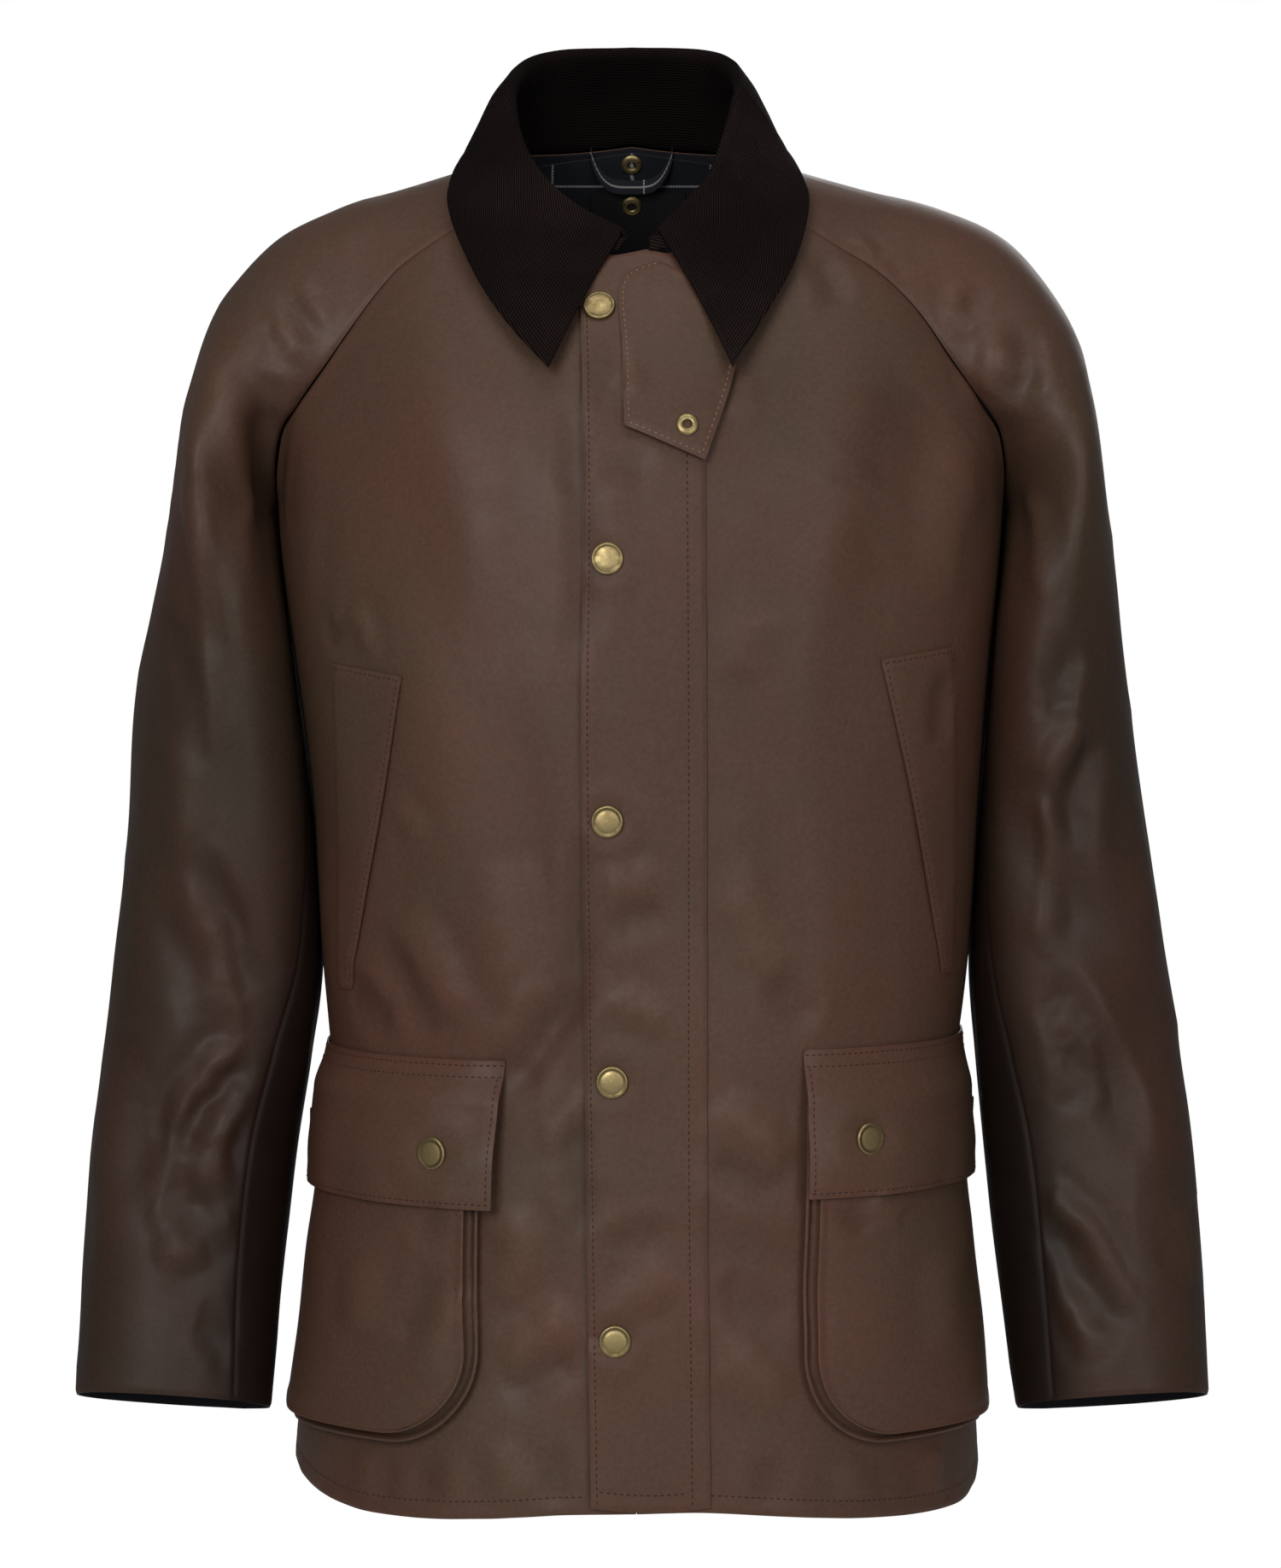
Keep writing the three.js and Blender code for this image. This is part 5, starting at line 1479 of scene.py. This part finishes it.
def collar_profiles(along):
    """Rows across the collar, up its stand, over the roll and down its fall."""
    collar_at = curves(COLLAR_NAMES, COLLAR, range(len(COLLAR)))
    profiles = []
    for place in along:
        side = -1 if place < 0 else 1
        row = collar_at(abs(place))
        wider = row["open"] if side < 0 else -row["open"]
        seam = neck_edge(side, float(np.clip(row["place"], 0, 3))) + UP * COLLAR_LIFT
        crest = np.array([side * (row["rx"] + wider) + row["lean"], row["ry"], row["rz"]])
        edge = np.array([side * row["ex"] + row["lean"], row["ey"], row["ez"]])
        outward = (edge - seam) * [1, 1, 0]
        outward = outward / np.linalg.norm(outward)
        inside = crest - outward * 0.9 * ROLL - UP * ROLL
        outside = crest + outward * 1.25 * ROLL - UP * 1.2 * ROLL
        profiles.append([
            seam,
            (seam + inside) / 2,
            inside,
            crest,
            outside,
            mix(outside, edge, 0.35) + outward * 2.2,
            mix(outside, edge, 0.7) + outward * 1.6,
            edge,
        ])
    return np.array(profiles)


def make_collar():
    along = np.linspace(-COLLAR_END, COLLAR_END, 481)
    profiles = collar_profiles(along)
    lengths = np.linalg.norm(np.diff(profiles, axis=1), axis=2).mean(axis=0)
    places = np.concatenate([[0], np.cumsum(lengths)])
    down = shares(places[-1], 2.6) * places[-1]
    points = np.zeros((len(along), len(down), 3))
    for i, profile in enumerate(profiles):
        row = curves(range(3), profile, places)(down)
        points[i] = np.stack([row[k] for k in range(3)], axis=-1)
    j = np.gradient(points, axis=0)
    k = np.gradient(points, axis=1)
    normals = unit(np.cross(j, k))
    crest = points[:, np.argmin(np.abs(down - places[3]))]
    step = np.linalg.norm(np.diff(crest, axis=0), axis=1)
    along_crest = np.concatenate([[0], np.cumsum(step)])
    middle = len(along) // 2
    along_crest = along_crest - along_crest[middle]
    turn = COLLAR_GRAIN * smooth((np.abs(along) - 1.5) / 4.5)
    drift = np.concatenate([[0], np.cumsum(np.sin(turn[1:]) * step)])
    drift = -np.abs(drift - drift[middle])
    out = np.zeros(points.shape[:2])
    out[:, 1:] = np.cumsum(np.linalg.norm(np.diff(points, axis=1), axis=2), axis=1)
    out = out - out[:, [np.argmin(np.abs(down - places[3]))]]
    cloth = Cloth("cloth_collar", (points, normals, 0 * out), CORD, rolled=("left", "right", "top", "bottom"))
    wave = bumps(points, 34, 31) * 1.2 + bumps(points, 14, 32) * 0.35
    ease = smooth((down - places[2]) / 20)[None, :]
    edge_roll = np.minimum.reduce([
        cloth.edges["right"], cloth.edges["top"], cloth.edges["bottom"]
    ])
    bead = 0.5 * bell(edge_roll - 2.4, 1.8) - 0.5 * bell(edge_roll - 6, 1.3)
    lift = wave * ease + bead * ease
    turned = ROLLED * bell(np.minimum(edge_roll, cloth.edges["left"]), 1.2)
    cloth.outer = points + normals * (lift - turned)[..., None]
    cloth.inner = points + normals * (lift - CORD + 0.5 * turned)[..., None]
    cloth.uvs = np.stack([
        along_crest[:, None] + out * np.sin(turn)[:, None] * np.sign(along)[:, None],
        drift[:, None] + out * np.cos(turn)[:, None],
    ], axis=-1)
    # Painted shade on the stand at the back of the neck.
    stand = smooth((places[3] - down) / 10)[None, :] * bell(along, 3.0)[:, None]
    cloth.paint_shade(STAND_PAINTED_SHADE * stand)
    sew(cloth, "collar", (CORDUROY, CORDUROY),
        DARK_THREAD)


# The storm fly
def make_fly():
    fly_at = curves(("z", "left", "right"), FLY)
    up = shares(FLY_TOP - FLY_LOW, 3.0)[:, None]
    across = shares(66, 2.6)[None, :]
    level = mix(FLY_LOW, FLY_TOP, up) + 0 * across
    row = fly_at(level)
    x = mix(row["left"], row["right"], across)
    peak = FLY_PEAK - FLY_TOP - np.abs(x - FLY_PEAK_X) * 0.22
    z = level + peak * smooth((up - 0.9) * 10)
    sag = -3 * np.sin(across * 3) * np.clip(1 - (level - FLY_LOW) / 26, 0, 1)
    from_left = across * 66 + 0 * level
    heights = np.array([snap[1] for snap in FLY_SNAPS][::-1] + [-40.0])
    span = np.interp(level, heights, np.arange(len(heights)), left=-0.6)
    between = np.abs(np.sin(math.pi * span))
    gape = 2.4 * bell(from_left, 15) * between
    dents = 0 * level
    for snap_x, snap_z in FLY_SNAPS:
        away = np.hypot(x - snap_x, z - snap_z)
        dents = dents + 0.7 * bell(away - 15, 6) - 0.5 * bell(away, 9)
    cloth = Cloth(
        "cloth_storm_fly",
        on_body(length_to(x, z), z + sag, FLY_FACE),
        PLY,
        rolled=("left", "right", "bottom", "top"),
        puckered=("left", "right"),
        rows_of_stitches=(
            ("left", 3.2, 4, 4),
            ("right", 9.5, 4, 20),
            ("bottom", 9.5, 6, 12),
        ),
        extra=gape + dents,
    )
    sew(cloth, "storm_fly", (WAX, WAX))
    return cloth


# The throat tab
def tab_face(down, across):
    return FLY_FACE + LIFT + PLY + TAB_STAND * down**2 + 0.5 * np.sin(across * math.pi)


def make_tab():
    tab_at = curves(("lx", "lz", "rx", "rz"), TAB, range(len(TAB)))
    down = shares(100, 2.4)[:, None]
    across = shares(58, 2.4)[None, :]
    row = tab_at(down * (len(TAB) - 1))
    x = mix(row["lx"], row["rx"], across)
    z = mix(row["lz"], row["rz"], across)
    curl = 1.6 * bell(down - 0.35, 0.16) * bell(across - 0.62, 0.25)
    cloth = Cloth(
        "cloth_throat_tab",
        on_body(length_to(x, z), z, tab_face(down, across)),
        PLY,
        rolled=("left", "right", "bottom", "top"),
        rows_of_stitches=(
            ("left", 2.6, 4, 3),
            ("right", 2.6, 4, 3),
            ("top", 2.6, 4, 4),
        ),
        extra=curl,
    )
    sew(cloth, "throat_tab", (WAX, WAX),
        TAB_THREAD)
    return cloth


# Bellows pockets
def pocket_half(z):
    half = (POCKET_FAR - POCKET_NEAR) / 2
    below = np.clip((POCKET_LOW + POCKET_CORNER - z) / POCKET_CORNER, 0, 1)
    return half - POCKET_CORNER * (1 - np.sqrt(1 - below * below))


def across_pocket(s):
    return np.clip((s - POCKET_NEAR) / (POCKET_FAR - POCKET_NEAR), 0, 1)


def plump_at(s):
    return POCKET_PLUMP * np.sin(math.pi * across_pocket(s))


def depth_at(s, z):
    mouth = mix(MOUTH, 1, smooth((POCKET_TOP - z) / MOUTH_DROP))
    return POCKET_DEPTH * mouth * mix(1, SIDE_DEPTH, smooth(across_pocket(s) * 2 - 1))


# The gusset from the face's edge to the seam: how far outside the edge, and its height
GUSSET = (
    (0.0, 1.0),
    (-0.9, 0.86),
    (-1.7, 0.62),
    (-1.0, 0.34),
    (0.6, 0.24),
    (2.2, 0.28),
    (3.0, 0.44),
    (4.2, 0.5),
    (5.4, 0.44),
    (5.0, 0.28),
    (3.4, 0.1),
    (2.6, 0.0),
)


def make_pocket(name, side):
    centre = (POCKET_FAR + POCKET_NEAR) / 2
    columns = 2 * shares(182, 3.0) - 1
    drop = POCKET_TOP - POCKET_LOW
    straight = shares(drop - POCKET_CORNER, 3.0) * (drop - POCKET_CORNER)
    curve = drop - POCKET_CORNER + POCKET_CORNER * np.sin(np.linspace(0, math.pi / 2, 22)[1:])
    z = POCKET_TOP - np.concatenate([straight, curve])
    rows, count = len(z), len(columns)
    z = np.repeat(z[:, None], count, axis=1)
    s = centre + pocket_half(z) * columns
    height = np.ones_like(s)
    index = np.arange(rows * count).reshape(rows, count)
    rim = np.concatenate([index[:, 0], index[-1, 1:-1], index[::-1, -1]])
    all_s, all_z, all_h = s.ravel(), z.ravel(), height.ravel()
    rim_s, rim_z = all_s[rim], all_z[rim]
    along_s, along_z = np.gradient(rim_s), np.gradient(rim_z)
    length = np.hypot(along_s, along_z)
    out_s, out_z = along_z / length, -along_s / length
    out_z[[0, -1]] = 0
    faces = [grid_faces(rows, count)]
    before = rim
    for out, high in GUSSET[1:]:
        ring = len(all_s) + np.arange(len(rim))
        all_s = np.concatenate([all_s, rim_s + out_s * out])
        all_z = np.concatenate([all_z, rim_z + out_z * out])
        all_h = np.concatenate([all_h, np.full(len(rim), high)])
        faces.append(np.stack([before[:-1], before[1:], ring[1:], ring[:-1]], axis=1))
        before = ring
    faces = np.concatenate(faces)
    on_face = all_h == 1
    points, normals, fold = on_body(side * all_s, all_z)
    edge = np.full(len(all_s), 50.0)
    face_half = pocket_half(all_z)
    from_side = face_half - np.abs(all_s - centre)
    edge[on_face] = np.minimum(from_side, all_z - POCKET_LOW)[on_face]
    rise = POCKET_BASE + all_h * depth_at(all_s, all_z) + np.where(on_face, plump_at(all_s), 0)
    rise = rise + np.where(on_face, 0.5 * bell(edge - 1.5, 2.2) - GROOVE * bell(edge - 4, 1.4), 0)
    lift = fold + rise + relief(points)
    mouth_sag = 1.2 * bell(all_z - POCKET_TOP, 10) * np.sin(math.pi * across_pocket(all_s) * 3)
    outer = points + normals * (lift + np.where(on_face, mouth_sag, 0))[:, None]
    looks = np.zeros_like(outer)
    turns = np.cross(outer[faces[:, 2]] - outer[faces[:, 0]], outer[faces[:, 3]] - outer[faces[:, 1]])
    for corner in range(4):
        np.add.at(looks, faces[:, corner], turns)
    looks = unit(looks)
    if (looks[on_face] * normals[on_face]).sum() < 0:
        looks = -looks
    inner = outer - looks * CLOTH
    vertices, shell_faces, groups = closed_shell(outer, inner, faces)
    uvs = np.tile(np.stack([all_s, all_z], axis=1), (2, 1))
    # Its relief tone gives lighter ridges where the wax rubs off and painted shade in the troughs.
    tone = np.stack([bell(edge, 7), 0.5 + relief(points) / 12, 0 * edge], axis=1)
    piece = new_object("cloth_pocket_" + name, vertices, shell_faces, uvs, groups, np.tile(tone, (2, 1)))
    piece.data.materials.append(WAX)
    piece.data.materials.append(WAX)
    # A stitched row just inside the face's edge
    inside = 4.0
    line_s, line_z = rim_s - out_s * inside, rim_z - out_z * inside
    travelled = np.concatenate([[0], np.cumsum(np.hypot(np.diff(line_s), np.diff(line_z)))])
    places = np.arange(26, travelled[-1] - 26, STITCH_PITCH)
    line_s, line_z = np.interp(places, travelled, line_s), np.interp(places, travelled, line_z)
    points, normals, fold = on_body(side * line_s, line_z)
    rise = POCKET_BASE + depth_at(line_s, line_z) + plump_at(line_s) - GROOVE
    path = points + normals * (fold + rise + relief(points))[:, None]
    stitches = stitch_object("cloth_pocket_" + name + "_stitches", [(path, normals)], THREAD)
    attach(stitches, "root")
    keep(piece, "pocket_" + name)


def flap_face(s, z, rise):
    over_pocket = POCKET_BASE + depth_at(s, z) + plump_at(s) + 1 + PLY
    below = FLAP_TOP + rise - z
    share = smooth(below / (FLAP_TOP + rise - POCKET_TOP))
    flare = FLAP_FLARE * below / (FLAP_TOP - FLAP_LOW)
    return mix(LIFT + PLY + FLAP_LIFT, over_pocket, share) + flare


def flap_extra(name, s, z):
    """Dents round the snaps and a slack lower edge."""
    extra = 0 * s
    for snap_s, snap_z in POCKET_SETS[name]["snaps"]:
        away = np.hypot(s - snap_s, z - snap_z)
        extra = extra + 0.9 * bell(away - 17, 7) - 0.4 * bell(away, 9)
    low = smooth((FLAP_TOP - z) / (FLAP_TOP - FLAP_LOW))
    return extra + low * 0.9 * np.sin(s / 17) + low * 0.5 * np.sin(s / 7.3 + 1)


def make_flap(name, side):
    pocket = POCKET_SETS[name]
    down = shares(FLAP_TOP - FLAP_LOW, 2.8)[:, None]
    across = shares(FLAP_FAR - FLAP_NEAR, 2.8)[None, :]
    s = mix(FLAP_NEAR + pocket["near"], FLAP_FAR, across) + 0 * down
    z = mix(FLAP_TOP, FLAP_LOW, down) + pocket["rise"] + 0 * across
    cloth = Cloth(
        "cloth_pocket_flap_" + name,
        on_body(side * s, z, flap_face(s, z, pocket["rise"])),
        PLY,
        rolled=("left", "right", "bottom", "top"),
        puckered=("left", "right", "top"),
        rows_of_stitches=(
            ("bottom", 2.8, 2, 2),
            ("bottom", 8.8, 2, 2),
            ("left", 2.8, 11, 3),
            ("right", 2.8, 11, 3),
            ("top", 2.8, 3, 3),
        ),
        extra=flap_extra(name, s, z),
    )
    sew(cloth, "pocket_flap_" + name, (WAX, WAX))


def make_welt(name, side):
    welt_at = curves(("z", "outer", "inner"), WELT)
    down = shares(178, 2.6)[:, None]
    across = shares(30, 2.4)[None, :]
    level = mix(WELT_TOP, WELT_LOW, down) + 0 * across
    row = welt_at(level)
    x = side * mix(row["outer"], row["inner"], across) + ring_at(level)["lean"]
    z = level + WELT_RISE[name] - WELT_TOP_SLOPE * across * (1 - down)
    gape = 1.0 * bell(across - 1, 0.35) * np.sin(math.pi * down)
    cloth = Cloth(
        "cloth_welt_" + name,
        on_body(length_to(x, z), z, LIFT + CLOTH),
        CLOTH,
        rolled=("left", "right", "bottom", "top"),
        rows_of_stitches=(
            ("right", 2.4, 3, 3),
            ("bottom", 2.4, 3, 3),
            ("left", 2.4, 3, 3),
        ),
        extra=gape,
    )
    sew(cloth, "welt_" + name, (WAX, WAX))


# Fasteners
def lathe(profile, segments, centre, normal):
    """Vertices, faces and radius-by-angle coordinates of a turned piece standing on a place."""
    side = unit(np.cross(normal, UP if abs(normal[2]) < 0.9 else np.array([1.0, 0, 0])))
    other = np.cross(normal, side)
    angles = np.linspace(0, 2 * math.pi, segments, endpoint=False)
    ring = np.cos(angles)[:, None] * side + np.sin(angles)[:, None] * other
    profile = np.array(profile, dtype=float)
    vertices = centre + profile[:, 0, None, None] * ring + profile[:, 1, None, None] * normal
    uvs = np.stack(np.broadcast_arrays(profile[:, 0, None], angles[None, :]), axis=-1)
    rows = len(profile)
    corner = np.arange(rows - 1)[:, None] * segments + np.arange(segments)
    after = np.arange(rows - 1)[:, None] * segments + (np.arange(segments) + 1) % segments
    faces = np.stack([corner, after, after + segments, corner + segments], axis=-1)
    return vertices.reshape(-1, 3), faces.reshape(-1, 4), uvs.reshape(-1, 2)


SNAP_RADIUS = 8.7
# radius and height, over the top from the middle, down the rim and back under
SNAP = (
    (0.05, 2.55), (2.0, 2.5), (4.0, 2.4), (5.6, 2.25), (6.1, 2.1), (6.6, 2.15), (7.3, 2.4),
    (7.9, 2.45), (8.4, 2.15), (8.65, 1.5), (8.7, 0.8), (8.4, 0.2), (7.8, 0.0), (0.05, 0.0),
)
RING = (
    (2.3, 0.1), (2.3, 0.9), (2.6, 1.3), (3.3, 1.55), (4.2, 1.5), (5.2, 1.1), (5.9, 0.7), (6.1, 0.3),
    (6.0, 0.0), (2.4, 0.0), (2.3, 0.1),
)
SEGMENTS = 48


def fasten(name, node, profile, s, z, rise, extra=0.0, facing=1, back=False):
    """Stands a fastener on the cloth at a place on the body."""
    points, normals, fold = on_body(np.array([float(s)]), np.array([float(z)]))
    lift = fold + rise + extra + (0 if back else relief(points))
    centre = (points + normals * lift[:, None])[0]
    vertices, faces, uvs = lathe(profile, SEGMENTS, centre, normals[0] * facing)
    piece = new_object(name, vertices, faces, uvs, sharp=40)
    piece.data.materials.append(BRASS)
    keep(piece, node)


def make_fasteners():
    for k, (x, z) in enumerate(FLY_SNAPS, 1):
        s = length_to(np.array([float(x)]), np.array([float(z)]))[0]
        fasten(f"snap_fly_{k}", f"fly_snap_{k}", SNAP, s, z, FLY_FACE - 0.1)
    for name, pocket in POCKET_SETS.items():
        for k, (s, z) in enumerate(pocket["snaps"], 1):
            face = flap_face(np.array([float(s)]), np.array([float(z)]), pocket["rise"])[0]
            extra = flap_extra(name, np.array([float(s)]), np.array([float(z)]))[0]
            fasten(f"snap_{name}_{k}", f"pocket_snap_{name}_{k}", SNAP, pocket["side"] * s, z, face, extra)
    s = length_to(np.array([float(TAB_RING[0])]), np.array([float(TAB_RING[1])]))[0]
    fasten("ring_tab", "tab_ring", RING, s, TAB_RING[1], tab_face(0.9, 0.5) + 0.1)
    for name, node, z, face in (
        ("ring_label", "label_ring", -10, LABEL_FACE - LINING),
        ("ring_neck", "neck_ring", 12, LINING_FACE - LINING),
    ):
        s = half_round(np.array([float(z)]))[0]
        fasten(name, node, RING, s, z, face - 0.1, facing=-1, back=True)


# Inside the neck
def make_neck_inside():
    up = shares(126, 3.0)[:, None]
    across = np.linspace(-1, 1, 105)[None, :]
    side = np.where(across < 0, -1.0, 1.0)
    reach = np.abs(across)
    station = mix(0.15, 4.2, 1 - up)
    seam_s, seam_z = seam_of(1.0, station, True)
    left_s, left_z = seam_of(-1.0, station, True)
    seam_s = np.where(side < 0, np.abs(left_s), seam_s)
    seam_z = np.where(side < 0, left_z, seam_z)
    top = mix(NECK_BACK - YOKE_DEPTH, NECK_BACK - 2, up)
    z = mix(top, seam_z - 1, reach)
    from_centre = reach * (half_round(seam_z) - seam_s - 13)
    points, normals, fold = on_body(side * (half_round(z) - from_centre), z, LINING_FACE)
    cloth = Cloth("cloth_lining_back", (points, normals, fold), LINING)
    cloth.outer = points + normals * fold[..., None]
    cloth.inner = points + normals * (fold - LINING)[..., None]
    cloth.uvs = np.stack([side * from_centre, z + 0 * from_centre], axis=-1)
    lining = cloth.make((INSIDE, CHECK))
    v = shares(LABEL_TOP - LABEL_LOW, 3.0)[:, None]
    u = shares(2 * LABEL_HALF, 3.0)[None, :]
    z = mix(LABEL_LOW, LABEL_TOP, v) + 0 * u
    points, normals, fold = on_body(half_round(z) - mix(-LABEL_HALF, LABEL_HALF, u), z, LABEL_FACE)
    cloth = Cloth("cloth_label", (points, normals, fold), LINING)
    cloth.outer = points + normals * fold[..., None]
    cloth.inner = points + normals * (fold - LINING)[..., None]
    label = cloth.make((LABEL, LABEL))
    steps = np.linspace(-1, 1, 61)
    x = LOOP_HALF * steps - 5
    z = LOOP_TOP - 6 - LOOP_DROP * (1 - steps**4)
    wall_y = body_point(half_round(z), z, LABEL_FACE - LINING)[:, 1]
    y = wall_y - LOOP_STAND * (1 - steps**6) - 0.8
    across = np.linspace(-0.5, 0.5, 7)
    middle = xyz(x, y, z)
    points = middle[:, None, :] + across[None, :, None] * LOOP_WIDTH * UP
    along = unit(np.gradient(middle, axis=0))
    outwards = unit(np.cross(along, UP))[:, None, :] + 0 * points
    round_over = 0.5 * (2 * across[None, :]) ** 2
    cloth = Cloth("cloth_hanger_loop", (points, outwards, 0 * points[..., 0]), LOOP_WALL)
    cloth.outer = points - outwards * round_over[..., None]
    cloth.inner = points - outwards * (LOOP_WALL - round_over)[..., None]
    cloth.uvs = np.stack([
        points[..., 2] - points[:, 3:4, 2],
        np.broadcast_to(np.linspace(0, 60, 61)[:, None], points.shape[:2]) + 7,
    ], axis=-1)
    loop = cloth.make((CHECK, CHECK))
    keep(label, "label")
    keep(loop, "hanger_loop")
    keep(lining, "lining_back")


# Floor, light and backdrop
FLOOR_Z = -1.45  # the jacket hangs as on someone whose shoulders are 1.45 m up
FLOOR_RADIUS = 2.1


def make_stage():
    angles = np.linspace(0, 2 * math.pi, 96, endpoint=False)
    ring = np.stack([np.cos(angles), np.sin(angles)], axis=1) * FLOOR_RADIUS / MM
    vertices = np.column_stack([ring, np.full(len(ring), FLOOR_Z / MM)])
    floor = new_object("floor", vertices, [range(len(ring))])
    nodes = Nodes("floor")
    here = nodes.add("ShaderNodeTexCoord").outputs["Object"]
    colour = nodes.mixed(nodes.noise(here, 3.0, 2.0), rgb(0.78, 0.78, 0.77), rgb(0.82, 0.82, 0.81))
    nodes.link(colour, "Base Color")
    nodes.set(Roughness=0.9)
    floor.data.materials.append(nodes.material)


def make_light(name, place, aim, size, power):
    data = bpy.data.lights.new(name, "AREA")
    data.shape = "RECTANGLE"
    data.size, data.size_y = size
    data.energy = power
    light = bpy.data.objects.new(name, data)
    light.location = place
    x, y, z = (to - start for to, start in zip(aim, place))
    light.rotation_euler = (math.atan2(math.hypot(x, y), -z), 0, math.atan2(-x, y))
    bpy.context.scene.collection.objects.link(light)


AIM = (0, 0, -0.35)
LIGHTS = (
    # name, place, size, power
    ("key", (-1.1, -3.2, 0.7), (1.2, 1.6), 49),
    ("fill", (1.4, -3.1, 0.3), (1.2, 1.6), 26),
    ("top", (0.0, -0.8, 2.0), (1.6, 1.0), 14),
    ("back", (0.6, 3.2, 1.0), (2.0, 2.0), 40),
)
BACKDROP = 1.0
ROOM_LIGHT = 0.17


def make_world():
    world = bpy.data.worlds.new("studio")
    world.use_nodes = True
    bpy.context.scene.world = world
    tree = world.node_tree
    tree.nodes.clear()
    output = tree.nodes.new("ShaderNodeOutputWorld")
    seen = tree.nodes.new("ShaderNodeBackground")
    seen.inputs["Color"].default_value = rgb(1, 1, 1)
    seen.inputs["Strength"].default_value = BACKDROP
    room = tree.nodes.new("ShaderNodeBackground")
    room.inputs["Color"].default_value = rgb(0.97, 0.98, 1.0)
    room.inputs["Strength"].default_value = ROOM_LIGHT
    path = tree.nodes.new("ShaderNodeLightPath")
    blend = tree.nodes.new("ShaderNodeMixShader")
    tree.links.new(path.outputs["Is Camera Ray"], blend.inputs["Fac"])
    tree.links.new(room.outputs["Background"], blend.inputs[1])
    tree.links.new(seen.outputs["Background"], blend.inputs[2])
    tree.links.new(blend.outputs["Shader"], output.inputs["Surface"])


make_camera()
make_world()
for light_name, light_place, light_size, light_power in LIGHTS:
    make_light(light_name, light_place, AIM, light_size, light_power)
make_stage()
bpy.context.scene.view_settings.view_transform = "Standard"

make_fronts()
make_back()
make_sleeves()
make_collar()
make_fly()
make_tab()
for pocket_name, pocket_set in POCKET_SETS.items():
    make_pocket(pocket_name, pocket_set["side"])
    make_flap(pocket_name, pocket_set["side"])
    make_welt(pocket_name, pocket_set["side"])
make_neck_inside()
make_fasteners()
